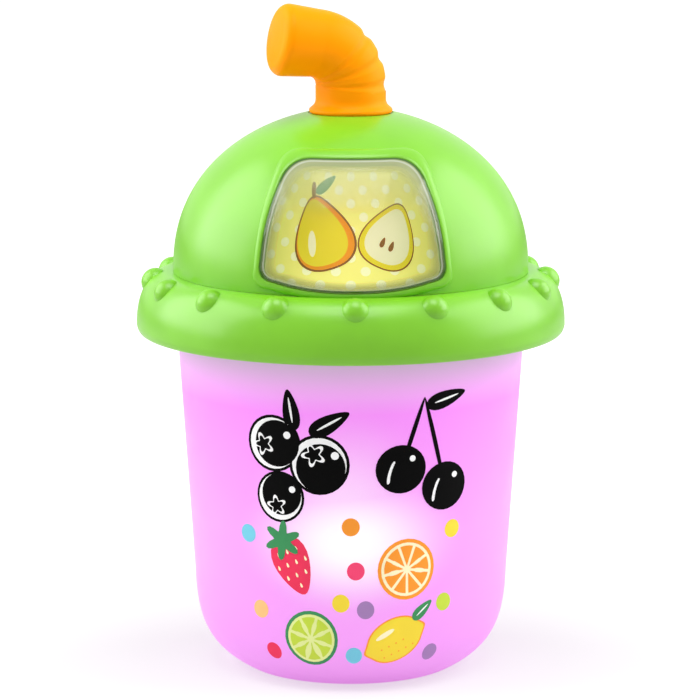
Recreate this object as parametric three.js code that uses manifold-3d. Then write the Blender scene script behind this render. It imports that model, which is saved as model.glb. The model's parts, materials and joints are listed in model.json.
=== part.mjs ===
// A light-up toy smoothie cup: a translucent cup, a wide lid with a domed top and a picture
// window, and a thick bent straw. Turning the straw turns a picture drum behind the window.
// Millimetres, +Z up, origin on the ground under the middle of the cup, the window faces -Y.

import * as THREE from 'three';
import { mergeVertices } from 'three/addons/utils/BufferGeometryUtils.js';
import Module from 'manifold-3d';

const wasm = await Module();
wasm.setup();

// General values
const wall = 2.2;
const clearance = 0.3;
const overrun = 2;
const mergeTolerance = 0.0001;
const roundSegments = 36;
const smallSegments = 8;
const cornerDivisions = 5;
const sideDivisions = 3;
const edgeDivisions = 2;
const outlineDivisions = 4;
const domeDivisions = 9;
const quarterTurn = Math.PI / 2;
const fullTurn = Math.PI * 2;

// Cup: a straight-sided tub with a large round bottom corner and a hidden bead at the mouth
const cupMouthRadius = 48.9;
const cupCornerRadius = 45.7;
const cupCornerHeight = 28;
const cupFootWidth = 2.5;
const cupBeadHeight = 103;
const cupBeadThickness = 2;
const cupBeadReach = 3.3;
const cupCornerLean = 0.4;
const cupSwellShare = 0.42;
const cupCornerUpperShare = 0.5;
const cupCornerInShare = 0.74;
const cupCornerLowShare = 0.22;

// Screws
const screwRadius = 1.5;
const screwHeadRadius = 2.7;
const screwHeadHeight = 1.6;
const bossRadius = 3.5;
const smallScrewRadius = 1;
const smallScrewHeadRadius = 1.8;
const smallScrewHeadHeight = 1.2;
const smallScrewLength = 4;
const headRoundShare = 0.6;

// Base plate under the cup, and the floor of the cup above it
const basePlateRecess = 0.8;
const basePlateThickness = 3.4;
const cupFloorThickness = 2.2;
const baseScrewSpacingX = 31;
const baseScrewSpacingY = 37;
const baseScrewLength = 10;
const baseRimWidth = 4.2;

// Battery box with two AAA cells side by side along X
const cellRadius = 5.25;
const cellLength = 44.5;
const cellNippleRadius = 1.9;
const cellNippleLength = 0.8;
const cellGap = 0.8;
const contactSpace = 3;
const boxWall = 1.5;
const boxEarThickness = 2;
const contactThickness = 0.4;
const contactWidth = 8;
const contactWireRadius = 0.3;
const contactSpringRadius = 2.6;
const contactSpringTurns = 2;
const contactSpringSteps = 16;
const contactSpringSegments = 3;

// Battery door, flush with the base plate, with an ear and a captive screw on each long side
const doorThickness = 1.8;
const doorEndMargin = 4.9;
const doorWidth = 23;
const doorCornerRadius = 3;
const doorEarRadius = 3.6;
const doorEarOffset = 14.2;
const doorScrewLength = 7;
const doorBossRadius = 3;
const fingerNotchRadius = 5;
const fingerNotchDepth = 0.7;

// Power switch: a slide with the stops off, low and high
const switchOffset = 23.2;
const switchLength = 10;
const switchWidth = 5.4;
const switchHeight = 5;
const switchTravel = 2;
const knobLength = 5;
const knobWidth = 2.4;
const knobProud = 0.5;
const knobRidgeDepth = 0.3;

// Light board on top of the battery box
const ledBoardLength = 40;
const ledBoardWidth = 46;
const boardThickness = 1.6;
const ledRadius = 2.5;
const ledHeight = 6;
const ledSpacing = 14;
const ledCount = 3;

// Brim: a hollow ring that hangs over the cup and carries the dome. Its radii are set in from
// its widest place, and its heights are taken from the bead of the cup.
const brimOverhang = 13.6;
const brimSkirtInset = 0.4;
const brimShoulderInset = 1.4;
const brimTopInset = 5.7;
const brimSeatInset = 9.6;
const brimSkirtDrop = 4.4;
const brimWidestRise = 2.2;
const brimSeatRise = 11.2;
const brimShoulderDrop = 5.9;
const brimTopDrop = 1.6;
const brimRoundInset = 5;
const brimRoundDrop = 2.2;
const brimRoundTopDrop = 0.6;
const brimLedgeWidth = 11.9;
const brimSkirtRound = 1.3;
const brimBossInset = 8.2;

// Clamp ring: it holds the bead of the cup up against the brim with four screws
const clampRingThickness = 2;
const cupScrewLength = 11;

// Bumps round the brim
const bumpCount = 16;
const bumpInset = 5.1;
const bumpSink = 2.9;
const bumpRadius = 4.4;
const bumpSegments = 10;

// Dome: a rounded cap with a hollow collar for the straw
const domeEdgeInset = 1.14;
const domeRise = 47.1;
const domeRiseExponent = 2.25;
const domeRoundExponent = 1.938;
const domeBossInset = 5;
const domeBossHeight = 9.5;
const collarRadius = 13;
const collarDepth = 5;
const lidScrewLength = 11;

// Window, measured in the front view, with its heights above the seat of the dome
const windowSill = 0.9;
const windowCornerRise = 3.6;
const windowTop = 35.9;
const windowLowerHalf = 27.4;
const windowUpperHalf = 17.2;
const windowSideBow = 0.9;
const windowCorner = 5;
const bezelWidth = 1.8;
const bezelHeight = 0.9;
const lensRecess = 0.4;
const lensThickness = 1.4;
const lensLip = 1.8;

// Sound holes in the back of the dome
const soundHoleRadius = 1.2;
const soundHoleRise = 16;
const soundHoleSpacing = 5;
const soundHoleCount = 6;
const soundHoleSegments = 6;

// Straw: a foot flange, a short upright, a ribbed elbow and a flared arm with a closed end
const strawRadius = 10.2;
const strawFlangeRadius = 12.1;
const strawFlangeThickness = 3.5;
const strawFlangeRound = 0.8;
const strawUprightHeight = 6.3;
const strawStemRadius = 8;
const strawArmTurn = THREE.MathUtils.degToRad(22);
const strawBend = THREE.MathUtils.degToRad(78);
const strawRibCount = 3;
const strawRibPitch = THREE.MathUtils.degToRad(20.4);
const strawRibDepth = 0.65;
const strawElbowGap = 0.4;
const strawNeckRadius = 9.3;
const strawMouthRadius = 10.5;
const strawArmLength = 12;
const strawEndRound = 2.4;
const strawEndBulge = 0.6;
const strawScrewLength = 10;
const strawSegments = 20;

// Picture drum on a hub that turns on the pivot post of the lid floor
const drumEdgeInset = 1.6;
const drumTaper = 12.6;
const drumBottomDrop = 1.9;
const drumTopDrop = 12.6;
const drumWall = 1.6;
const drumTopThickness = 1.6;
const hubRadius = 5.2;
const hubBore = 3.4;
const hubFlangeRadius = 12;
const hubFlangeThickness = 1.6;
const bandThickness = 0.4;
const bandMargin = 0.5;

// Lid floor under the ledge of the brim, with the electronics on it
const lidFloorThickness = 2.4;
const postRadius = 3;
const postTopGap = 9.7;
const mainBoardInset = 11;
const mainBoardStandoff = 1;
const mainBoardHoleRadius = 4.5;
const mainBoardScrewInset = 6;
const chipSize = 8;
const chipHeight = 1;
const chipInset = 12;
const wiperOuterRadius = 11;
const wiperThickness = 0.4;
const speakerRadius = 18;
const speakerMagnetRadius = 11;
const speakerDepth = 8;
const speakerRimDepth = 2.5;
const speakerRingWall = 1.6;
const floorSoundHoleRadius = 1.6;
const floorSoundHoleInset = 3;

// Lead from the light board up to the main board
const leadRadius = 1.1;
const leadHoleGap = 5;
const leadHoleRadius = 2.1;
const leadStartOffset = 14;
const leadStartRise = 6;
const leadLowerRise = 14;
const leadUpperDrop = 14;
const leadSegments = 8;
const leadSteps = 18;

// Heights and radii that follow from the sizes above
const doorLength = cellLength + doorEndMargin;
const cupOpeningRadius = doorLength / 2 + baseRimWidth;
const cupFootRadius = cupOpeningRadius + cupFootWidth;
const basePlateTop = basePlateRecess + basePlateThickness;
const cupFloorBottom = basePlateTop + clearance;
const cupFloorTop = cupFloorBottom + cupFloorThickness;
const boxBottom = cupFloorBottom;
const doorTop = basePlateRecess + doorThickness;
const cellAxisHeight = doorTop + clearance + cellGap + cellRadius;
const chamberTop = cellAxisHeight + cellRadius + clearance;
const boxTop = chamberTop + boxWall;
const ledBoardBottom = boxTop + clearance;
const ledBoardTop = ledBoardBottom + boardThickness;
const cupBeadTop = cupBeadHeight + cupBeadThickness;
const clampRingTop = cupBeadHeight - clearance;
const clampRingBottom = clampRingTop - clampRingThickness;
const brimRadius = cupMouthRadius + brimOverhang;
const brimSkirtRadius = brimRadius - brimSkirtInset;
const brimShoulderRadius = brimRadius - brimShoulderInset;
const brimTopRadius = brimRadius - brimTopInset;
const brimSeatRadius = brimRadius - brimSeatInset;
const brimLedgeRadius = brimSeatRadius - brimLedgeWidth;
const brimBossOffset = brimRadius - brimBossInset;
const brimSkirtBottom = cupBeadHeight - brimSkirtDrop;
const brimWidestHeight = brimSkirtBottom + brimWidestRise;
const brimSeatHeight = cupBeadTop + brimSeatRise;
const brimShoulderHeight = brimSeatHeight - brimShoulderDrop;
const brimTopHeight = brimSeatHeight - brimTopDrop;
const bumpRingRadius = brimRadius - bumpInset;
const bumpHeight = brimTopHeight - bumpSink;
const domeRadius = brimSeatRadius - domeEdgeInset;
const domeBossOffset = domeRadius - domeBossInset;
const domeSeat = brimSeatHeight + clearance;
const domeTop = domeSeat + domeRise;
const brimLedgeBottom = brimSeatHeight - wall;
const lidFloorTop = brimLedgeBottom - clearance;
const lidFloorBottom = lidFloorTop - lidFloorThickness;
const mainBoardBottom = lidFloorTop + mainBoardStandoff + clearance;
const mainBoardTop = mainBoardBottom + boardThickness;
const wiperBottom = mainBoardTop + clearance;
const hubBottom = wiperBottom + wiperThickness + clearance;
const drumBottomRadius = brimLedgeRadius - drumEdgeInset;
const drumTopRadius = drumBottomRadius - drumTaper;
const drumBottomHeight = domeSeat - drumBottomDrop;
const drumTopHeight = domeTop - drumTopDrop;
const stemBottom = drumTopHeight + clearance;
const lidFloorRadius = domeBossOffset + bossRadius;
const mainBoardRadius = brimLedgeRadius - mainBoardInset;
const mainBoardScrewOffset = mainBoardRadius - mainBoardScrewInset;
const chipOffset = mainBoardRadius - chipInset;
const leadHoleOffset = mainBoardRadius + leadHoleGap;
const floorSoundHoleOffset = speakerRadius - floorSoundHoleInset;

// Materials
function plastic(color, roughness) {
  return new THREE.MeshStandardMaterial({ color, roughness, metalness: 0 });
}

function metal(color, roughness) {
  return new THREE.MeshStandardMaterial({ color, roughness, metalness: 1 });
}

const cupPlastic = plastic('#f1a9f0', 0.4);
cupPlastic.transparent = true;
cupPlastic.opacity = 0.85;
const greenPlastic = plastic('#82cb3e', 0.35);
const orangePlastic = plastic('#fbb012', 0.4);
const clearPlastic = plastic('#f4fbff', 0.05);
clearPlastic.transparent = true;
clearPlastic.opacity = 0.2;
const whitePlastic = plastic('#f2f2ee', 0.45);
const greyPlastic = plastic('#cfcfca', 0.5);
const blackPlastic = plastic('#26262a', 0.5);
const boardGreen = plastic('#2f6b45', 0.6);
const printedPaper = plastic('#f4e674', 0.6);
const steel = metal('#b8b8ba', 0.35);
const brass = metal('#c9a557', 0.4);
const cellLabel = plastic('#6d7b8c', 0.4);
const speakerPaper = plastic('#3a3a3c', 0.8);
const leadRubber = plastic('#c8323c', 0.5);

// Solids

function closedTriangles(index) {
  const kept = [];
  for (let i = 0; i < index.length; i += 3) {
    const [a, b, c] = [index[i], index[i + 1], index[i + 2]];
    if (a !== b && b !== c && c !== a) kept.push(a, b, c);
  }
  return new Uint32Array(kept);
}

function solid(geometry) {
  geometry.deleteAttribute('normal');
  geometry.deleteAttribute('uv');
  const merged = mergeVertices(geometry, mergeTolerance);
  return new wasm.Manifold(new wasm.Mesh({
    numProp: 3,
    vertProperties: new Float32Array(merged.attributes.position.array),
    triVerts: closedTriangles(merged.index.array),
  }));
}

function geometryOf(body) {
  const mesh = body.getMesh();
  const geometry = new THREE.BufferGeometry();
  geometry.setAttribute('position', new THREE.BufferAttribute(mesh.vertProperties, mesh.numProp));
  geometry.setIndex(new THREE.BufferAttribute(mesh.triVerts, 1));
  return geometry;
}

// A turned solid about Z from [radius, height] points, listed up the outside and down the inside
function turned(points, segments = roundSegments) {
  const profile = points.map(([radius, height]) => new THREE.Vector2(radius, height));
  const lathe = new THREE.LatheGeometry([...profile, profile[0].clone()], segments);
  return solid(lathe.rotateX(quarterTurn));
}

// An upright cylinder from one height to another
function rod(radius, bottom, top, x = 0, y = 0, segments = smallSegments) {
  const cylinder = new THREE.CylinderGeometry(radius, radius, top - bottom, segments);
  cylinder.rotateX(quarterTurn);
  return solid(cylinder.translate(x, y, (bottom + top) / 2));
}

function block(length, width, bottom, top, x = 0, y = 0) {
  const box = new THREE.BoxGeometry(length, width, top - bottom);
  return solid(box.translate(x, y, (bottom + top) / 2));
}

function roundedRectangle(length, width, radius) {
  const [x, y] = [length / 2 - radius, width / 2 - radius];
  const outline = new THREE.Shape();
  outline.absarc(x, y, radius, 0, quarterTurn);
  outline.absarc(-x, y, radius, quarterTurn, 2 * quarterTurn);
  outline.absarc(-x, -y, radius, 2 * quarterTurn, 3 * quarterTurn);
  outline.absarc(x, -y, radius, 3 * quarterTurn, fullTurn);
  return outline;
}

function slab(outline, bottom, top, curveSegments = 2) {
  const plate = new THREE.ExtrudeGeometry(outline, {
    depth: top - bottom, bevelEnabled: false, curveSegments,
  });
  return solid(plate.translate(0, 0, bottom));
}

function join(bodies) {
  return bodies.reduce((whole, body) => whole.add(body));
}

function cut(body, tools) {
  return tools.reduce((rest, tool) => rest.subtract(tool), body);
}

// A screw with a pan head, its head below and its tip up
function screw(radius, headRadius, headHeight, length, segments = smallSegments) {
  return turned([
    [0, -headHeight], [headRadius * headRoundShare, -headHeight],
    [headRadius, -headHeight * headRoundShare], [headRadius, 0],
    [radius, 0], [radius, length - radius], [0, length],
  ], segments);
}

function caseScrew(length) {
  return screw(screwRadius, screwHeadRadius, screwHeadHeight, length);
}

function smallScrew(length) {
  return screw(smallScrewRadius, smallScrewHeadRadius, smallScrewHeadHeight, length);
}

// The same small screw, driven down from above, for the boards
function boardScrew() {
  return smallScrew(smallScrewLength).rotate([180, 0, 0]);
}

// The four corners of a rectangle of screws
function corners(spacingX, spacingY) {
  return [[1, 1], [-1, 1], [-1, -1], [1, -1]].map(([x, y]) => [x * spacingX / 2, y * spacingY / 2]);
}

// Places at even angles on a circle
function ring(count, radius, start = 0) {
  return Array.from({ length: count }, (_, i) => {
    const angle = start + i * fullTurn / count;
    return [radius * Math.cos(angle), radius * Math.sin(angle), angle];
  });
}

// A run of [radius, height] points along a quadratic or cubic curve
function curved(divisions, ...controls) {
  const corners = controls.map(([radius, height]) => new THREE.Vector2(radius, height));
  const curve = corners.length === 3
    ? new THREE.QuadraticBezierCurve(...corners)
    : new THREE.CubicBezierCurve(...corners);
  return curve.getPoints(divisions).map((point) => [point.x, point.y]);
}

// The assembly, and one named piece of it
const group = new THREE.Group();

function piece(name, body, material, place = [0, 0, 0], turn = 0) {
  const mesh = new THREE.Mesh(geometryOf(body), material);
  mesh.name = name;
  mesh.position.set(...place);
  mesh.rotation.z = turn;
  group.add(mesh);
}

// Base of the cup: places shared by the floor, the base plate and the battery box
const cellOffset = cellRadius + cellGap / 2;
const chamberLength = cellLength + 2 * contactSpace;
const chamberWidth = 2 * (cellOffset + cellRadius + clearance);
const boxLength = chamberLength + 2 * boxWall;
const boxWidth = chamberWidth + 2 * boxWall;
const baseScrews = corners(baseScrewSpacingX, baseScrewSpacingY);
const doorScrews = [[0, doorEarOffset], [0, -doorEarOffset]];
const baseScrewSeat = basePlateRecess + screwHeadHeight + clearance;
const doorScrewSeat = basePlateRecess + smallScrewHeadHeight;
const screwHole = screwRadius + clearance;
const smallScrewHole = smallScrewRadius + clearance;

function cupCorner(inset, footRadius, footHeight) {
  const drop = cupCornerHeight - footHeight;
  const run = cupCornerRadius - inset - footRadius;
  return curved(cornerDivisions,
    [footRadius, footHeight],
    [footRadius + run * cupCornerInShare, footHeight + drop * cupCornerLowShare],
    [cupCornerRadius - inset - cupCornerLean, footHeight + drop * cupCornerUpperShare],
    [cupCornerRadius - inset, cupCornerHeight]);
}

function cupSide(inset, top) {
  const swell = cupCornerHeight + (cupBeadHeight - cupCornerHeight) * cupSwellShare;
  return curved(sideDivisions,
    [cupCornerRadius - inset, cupCornerHeight],
    [cupMouthRadius - inset, swell],
    [cupMouthRadius - inset, top]).slice(1);
}

function cupShell() {
  const innerFoot = cupFootRadius + 2 * wall;
  const shell = turned([
    [cupOpeningRadius, 0],
    ...cupCorner(0, cupFootRadius, 0),
    ...cupSide(0, cupBeadHeight),
    [cupMouthRadius + cupBeadReach, cupBeadHeight], [cupMouthRadius + cupBeadReach, cupBeadTop],
    ...[...cupCorner(wall, innerFoot, cupFloorTop), ...cupSide(wall, cupBeadTop)].reverse(),
    [0, cupFloorTop], [0, cupFloorBottom], [cupOpeningRadius, cupFloorBottom],
  ]);
  const [low, high] = [cupFloorBottom - overrun, cupFloorTop + overrun];
  const boxHole = roundedRectangle(boxLength + 2 * clearance, boxWidth + 2 * clearance, boxWall);
  return cut(shell, [
    slab(boxHole, low, high),
    ...doorScrews.map(([x, y]) => rod(doorBossRadius + clearance, low, high, x, y)),
    ...baseScrews.map(([x, y]) => rod(screwHole, low, high, x, y)),
    block(switchLength + 2 * clearance, switchWidth + 2 * clearance, low, high, 0, switchOffset),
  ]);
}

function basePlate() {
  const radius = cupOpeningRadius - clearance;
  const plate = turned([
    [0, basePlateRecess], [radius - clearance, basePlateRecess],
    [radius, basePlateRecess + clearance], [radius, basePlateTop], [0, basePlateTop],
  ]);
  const [low, high] = [basePlateRecess - overrun, basePlateTop + overrun];
  const doorHole = roundedRectangle(doorLength + 2 * clearance, doorWidth + 2 * clearance,
    doorCornerRadius);
  const slotLength = knobLength + 2 * (switchTravel + clearance);
  return cut(plate, [
    slab(doorHole, low, high),
    block(slotLength, knobWidth + 2 * clearance, low, high, 0, switchOffset),
    ...doorScrews.flatMap(([x, y]) => [
      rod(doorEarRadius + clearance, low, doorTop + clearance, x, y),
      rod(smallScrewHole, low, high, x, y),
    ]),
    ...baseScrews.flatMap(([x, y]) => [
      rod(screwHeadRadius + clearance, low, baseScrewSeat, x, y),
      rod(screwHole, low, high, x, y),
    ]),
  ]);
}

function batteryDoor() {
  const panel = slab(roundedRectangle(doorLength, doorWidth, doorCornerRadius),
    basePlateRecess, doorTop);
  const ears = doorScrews.map(([x, y]) => rod(doorEarRadius, basePlateRecess, doorTop, x, y));
  const notch = rod(fingerNotchRadius, basePlateRecess - overrun,
    basePlateRecess + fingerNotchDepth, doorLength / 2, 0);
  return cut(join([panel, ...ears]), [
    notch,
    ...doorScrews.flatMap(([x, y]) => [
      rod(smallScrewHeadRadius + clearance, basePlateRecess - overrun, doorScrewSeat, x, y),
      rod(smallScrewHole, basePlateRecess, doorTop + overrun, x, y),
    ]),
  ]);
}

function batteryBox() {
  const outside = slab(roundedRectangle(boxLength, boxWidth, boxWall), boxBottom, boxTop);
  const chamber = block(chamberLength, chamberWidth, boxBottom - overrun, chamberTop);
  const earBottom = cupFloorTop + clearance;
  const ears = [-1, 1].map((side) => block(2 * bossRadius, baseScrewSpacingY,
    earBottom, earBottom + boxEarThickness, side * baseScrewSpacingX / 2, 0));
  const posts = baseScrews.map(([x, y]) => rod(bossRadius, earBottom, boxTop, x, y));
  const doorBosses = doorScrews.map(([x, y]) => rod(doorBossRadius, boxBottom,
    doorScrewSeat + doorScrewLength + boxWall, x, y));
  const body = cut(join([outside, ...ears, ...posts, ...doorBosses]), [chamber]);
  return cut(body, [
    ...baseScrews.map(([x, y]) => rod(screwHole, boxBottom,
      baseScrewSeat + baseScrewLength + clearance, x, y)),
    ...doorScrews.map(([x, y]) => rod(smallScrewHole, boxBottom - overrun,
      doorScrewSeat + doorScrewLength + clearance, x, y)),
    ...ledBoardScrews.map(([x, y]) => rod(smallScrewHole,
      ledBoardTop - smallScrewLength - clearance, boxTop + overrun, x, y)),
  ]);
}

// A cell along X with its button towards +X
function cell() {
  const body = turned([
    [0, 0], [cellRadius, 0], [cellRadius, cellLength - cellNippleLength],
    [cellNippleRadius, cellLength - cellNippleLength], [cellNippleRadius, cellLength],
    [0, cellLength],
  ], 2 * smallSegments);
  return body.translate([0, 0, -cellLength / 2]).rotate([0, 90, 0]);
}

// A helix along +X, for a coil spring that is fixed in a contact plate
class Coil extends THREE.Curve {
  getPoint(t) {
    const angle = t * contactSpringTurns * fullTurn;
    return new THREE.Vector3(t * contactReach, contactSpringRadius * Math.cos(angle),
      contactSpringRadius * Math.sin(angle));
  }
}

const contactReach = contactSpace - 2 * clearance - contactThickness / 2 - contactWireRadius;

function contactCoil(y) {
  const wire = new THREE.Shape();
  wire.absarc(0, 0, contactWireRadius, 0, fullTurn);
  const coil = new THREE.ExtrudeGeometry(wire, {
    extrudePath: new Coil(),
    steps: contactSpringSteps,
    curveSegments: contactSpringSegments,
    bevelEnabled: false,
  });
  return solid(coil.translate(0, y, 0));
}

function contactButton(y) {
  const cone = new THREE.CylinderGeometry(cellNippleRadius / 2, cellNippleRadius,
    contactReach, smallSegments);
  return solid(cone.rotateZ(-quarterTurn).translate(contactReach / 2, y, 0));
}

// A sheet metal contact that stands at the left end of the chamber, with its face towards +X
function contact(parts, width, y) {
  const plate = new THREE.BoxGeometry(contactThickness, width, contactWidth);
  return join([solid(plate.translate(0, y, 0)), ...parts]);
}

function baseAssembly() {
  piece('cup_shell', cupShell(), cupPlastic);
  piece('base_plate', basePlate(), whitePlastic);
  piece('battery_door', batteryDoor(), whitePlastic);
  piece('battery_box', batteryBox(), greyPlastic);
  baseScrews.forEach(([x, y], i) => {
    piece(`base_screw_${i + 1}`, caseScrew(baseScrewLength), steel, [x, y, baseScrewSeat]);
  });
  doorScrews.forEach(([x, y], i) => {
    piece(`door_screw_${i + 1}`, smallScrew(doorScrewLength), steel, [x, y, doorScrewSeat]);
  });
  const contactPlace = chamberLength / 2 - clearance - contactThickness / 2;
  piece('battery_1', cell(), cellLabel, [0, cellOffset, cellAxisHeight]);
  piece('battery_2', cell(), cellLabel, [0, -cellOffset, cellAxisHeight], 2 * quarterTurn);
  piece('contact_minus', contact([contactCoil(cellOffset)], contactWidth, cellOffset), brass,
    [-contactPlace, 0, cellAxisHeight]);
  piece('contact_plus', contact([contactButton(-cellOffset)], contactWidth, -cellOffset), brass,
    [-contactPlace, 0, cellAxisHeight]);
  const bridgeWidth = 2 * cellOffset + contactWidth;
  const bridge = contact([contactCoil(cellOffset), contactButton(-cellOffset)], bridgeWidth, 0);
  piece('contact_bridge', bridge, brass, [contactPlace, 0, cellAxisHeight], 2 * quarterTurn);
}

// Switch and lights
const ledBoardScrews = baseScrews.filter(([x, y]) => x * y > 0);

function switchKnob() {
  const bottom = basePlateRecess - knobProud;
  const knob = block(knobLength, knobWidth, bottom, basePlateTop);
  const grooves = [-1, 0, 1].map((step) => block(knobRidgeDepth, knobWidth + overrun,
    bottom - overrun, bottom + knobRidgeDepth, step * knobLength / 4));
  return cut(knob, grooves);
}

function ledBoard() {
  const board = block(ledBoardLength, ledBoardWidth, ledBoardBottom, ledBoardTop);
  return cut(board, ledBoardScrews.map(([x, y]) => rod(smallScrewHole,
    ledBoardBottom - overrun, ledBoardTop + overrun, x, y)));
}

function led() {
  const shoulder = ledHeight - ledRadius;
  const tip = curved(sideDivisions, [ledRadius, shoulder], [ledRadius, ledHeight], [0, ledHeight]);
  return turned([[0, 0], [ledRadius, 0], ...tip], smallSegments);
}

function lead() {
  const start = new THREE.Vector3(leadStartOffset, -leadStartOffset, ledBoardTop + clearance);
  const boardEdge = mainBoardRadius + clearance;
  const route = new THREE.CatmullRomCurve3([
    start,
    start.clone().add(new THREE.Vector3(0, 0, leadStartRise)),
    new THREE.Vector3(mainBoardRadius, -leadStartOffset / 2, cupCornerHeight + leadLowerRise),
    new THREE.Vector3(leadHoleOffset, 0, cupBeadHeight - leadUpperDrop),
    new THREE.Vector3(leadHoleOffset, 0, lidFloorTop),
    new THREE.Vector3(leadHoleOffset - clearance, 0, mainBoardBottom + leadRadius),
    new THREE.Vector3(boardEdge, 0, mainBoardBottom + leadRadius),
  ], false, 'centripetal');
  const section = new THREE.Shape();
  section.absarc(0, 0, leadRadius, 0, fullTurn);
  return solid(new THREE.ExtrudeGeometry(section, {
    extrudePath: route, steps: leadSteps, curveSegments: leadSegments / 2, bevelEnabled: false,
  }));
}

function lightAssembly() {
  const switchBody = block(switchLength, switchWidth, cupFloorBottom,
    cupFloorBottom + switchHeight, 0, switchOffset);
  piece('slide_switch', switchBody, steel);
  piece('switch_knob', switchKnob(), blackPlastic, [0, switchOffset, 0]);
  piece('led_board', ledBoard(), boardGreen);
  ledBoardScrews.forEach(([x, y], i) => {
    piece(`led_board_screw_${i + 1}`, boardScrew(), steel, [x, y, ledBoardTop]);
  });
  for (let i = 0; i < ledCount; i += 1) {
    const x = (i - (ledCount - 1) / 2) * ledSpacing;
    piece(`led_${i + 1}`, led(), clearPlastic, [x, 0, ledBoardTop + clearance]);
  }
  piece('lid_lead', lead(), leadRubber);
}

// Brim
const cupScrews = ring(4, brimBossOffset);
const lidScrews = ring(4, domeBossOffset, quarterTurn / 2);

function bump(x, y, angle) {
  const ball = new THREE.SphereGeometry(bumpRadius, bumpSegments, bumpSegments / 2);
  return solid(ball.rotateZ(angle).translate(x, y, bumpHeight));
}

function brim() {
  const edge = curved(edgeDivisions,
    [brimSkirtRadius - brimSkirtRound, brimSkirtBottom],
    [brimSkirtRadius, brimSkirtBottom],
    [brimRadius, brimWidestHeight]);
  const side = curved(edgeDivisions,
    [brimRadius, brimWidestHeight],
    [brimRadius, (brimWidestHeight + brimShoulderHeight) / 2],
    [brimShoulderRadius, brimShoulderHeight]);
  const shoulder = curved(cornerDivisions,
    [brimShoulderRadius, brimShoulderHeight],
    [brimShoulderRadius, brimSeatHeight - brimRoundDrop],
    [brimRadius - brimRoundInset, brimSeatHeight - brimRoundTopDrop],
    [brimSeatRadius, brimSeatHeight]);
  const outside = turned([
    [0, brimSkirtBottom], ...edge, ...side.slice(1), ...shoulder.slice(1), [0, brimSeatHeight],
  ]);
  const hollow = turned([
    [0, brimSkirtBottom - overrun], [brimSkirtRadius - wall, brimSkirtBottom - overrun],
    [brimSkirtRadius - wall, brimWidestHeight],
    [brimShoulderRadius - wall, brimShoulderHeight - wall / 2],
    [brimTopRadius, brimTopHeight - wall],
    [brimSeatRadius, brimLedgeBottom], [0, brimLedgeBottom],
  ]);
  const bumps = ring(bumpCount, bumpRingRadius).map(([x, y, angle]) => bump(x, y, angle));
  const bossBottom = cupBeadTop + clearance;
  const bossTop = brimTopHeight - wall / 2;
  const bosses = cupScrews.map(([x, y]) => rod(bossRadius, bossBottom, bossTop, x, y));
  const shell = join([outside, ...bumps]).subtract(hollow);
  return cut(join([shell, ...bosses]), [
    rod(brimLedgeRadius, brimLedgeBottom - overrun, domeTop, 0, 0, roundSegments),
    ...cupScrews.map(([x, y]) => rod(screwHole, bossBottom - overrun,
      clampRingBottom + cupScrewLength + clearance, x, y)),
    ...lidScrews.map(([x, y]) => rod(screwHole, brimLedgeBottom - overrun,
      brimSeatHeight + overrun, x, y)),
  ]);
}

function clampRing() {
  const [inner, outer] = [cupMouthRadius + clearance, brimBossOffset + bossRadius];
  const body = turned([
    [inner, clampRingBottom], [outer, clampRingBottom],
    [outer, clampRingTop], [inner, clampRingTop],
  ]);
  return cut(body, cupScrews.map(([x, y]) => rod(
    screwHole, clampRingBottom - overrun, clampRingTop + overrun, x, y)));
}

// Dome and window
function domeCurve(grow, divisions = domeDivisions) {
  const [radius, rise] = [domeRadius + grow, domeRise + grow];
  return Array.from({ length: divisions + 1 }, (_, i) => {
    const angle = quarterTurn * i / divisions;
    return [radius * Math.cos(angle) ** (2 / domeRoundExponent),
      domeSeat + rise * Math.sin(angle) ** (2 / domeRiseExponent)];
  });
}

function domeHeight(radius) {
  const share = 1 - (radius / domeRadius) ** domeRoundExponent;
  return domeSeat + domeRise * share ** (1 / domeRiseExponent);
}

function domeSolid(grow) {
  return turned([[0, domeSeat], ...domeCurve(grow)]);
}

const strawSeat = domeHeight(strawFlangeRadius + clearance);

// A block with the outline of the window, seen from the front, that reaches out past the dome
function windowBlock(grow) {
  const bottom = domeSeat + windowSill - grow;
  const corner = domeSeat + windowCornerRise - grow;
  const top = domeSeat + windowTop + grow;
  const [low, high] = [windowLowerHalf + grow, windowUpperHalf + grow];
  const right = new THREE.Path();
  right.moveTo(0, bottom);
  right.quadraticCurveTo(low / 2, bottom, low - windowCorner, corner - clearance);
  right.quadraticCurveTo(low, corner, low - windowSideBow, corner + windowCorner);
  right.quadraticCurveTo((low + high) / 2 + 2 * windowSideBow, (corner + top) / 2,
    high + windowSideBow, top - windowCorner / 2);
  right.quadraticCurveTo(high, top, high - windowCorner / 2, top);
  const points = right.getPoints(outlineDivisions);
  const mirrored = points.slice(1).reverse().map((point) => new THREE.Vector2(-point.x, point.y));
  const prism = new THREE.ExtrudeGeometry(new THREE.Shape([...points, ...mirrored]), {
    depth: domeRadius, bevelEnabled: false,
  });
  return solid(prism.rotateX(quarterTurn).translate(0, -domeRadius / 4, 0));
}

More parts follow.
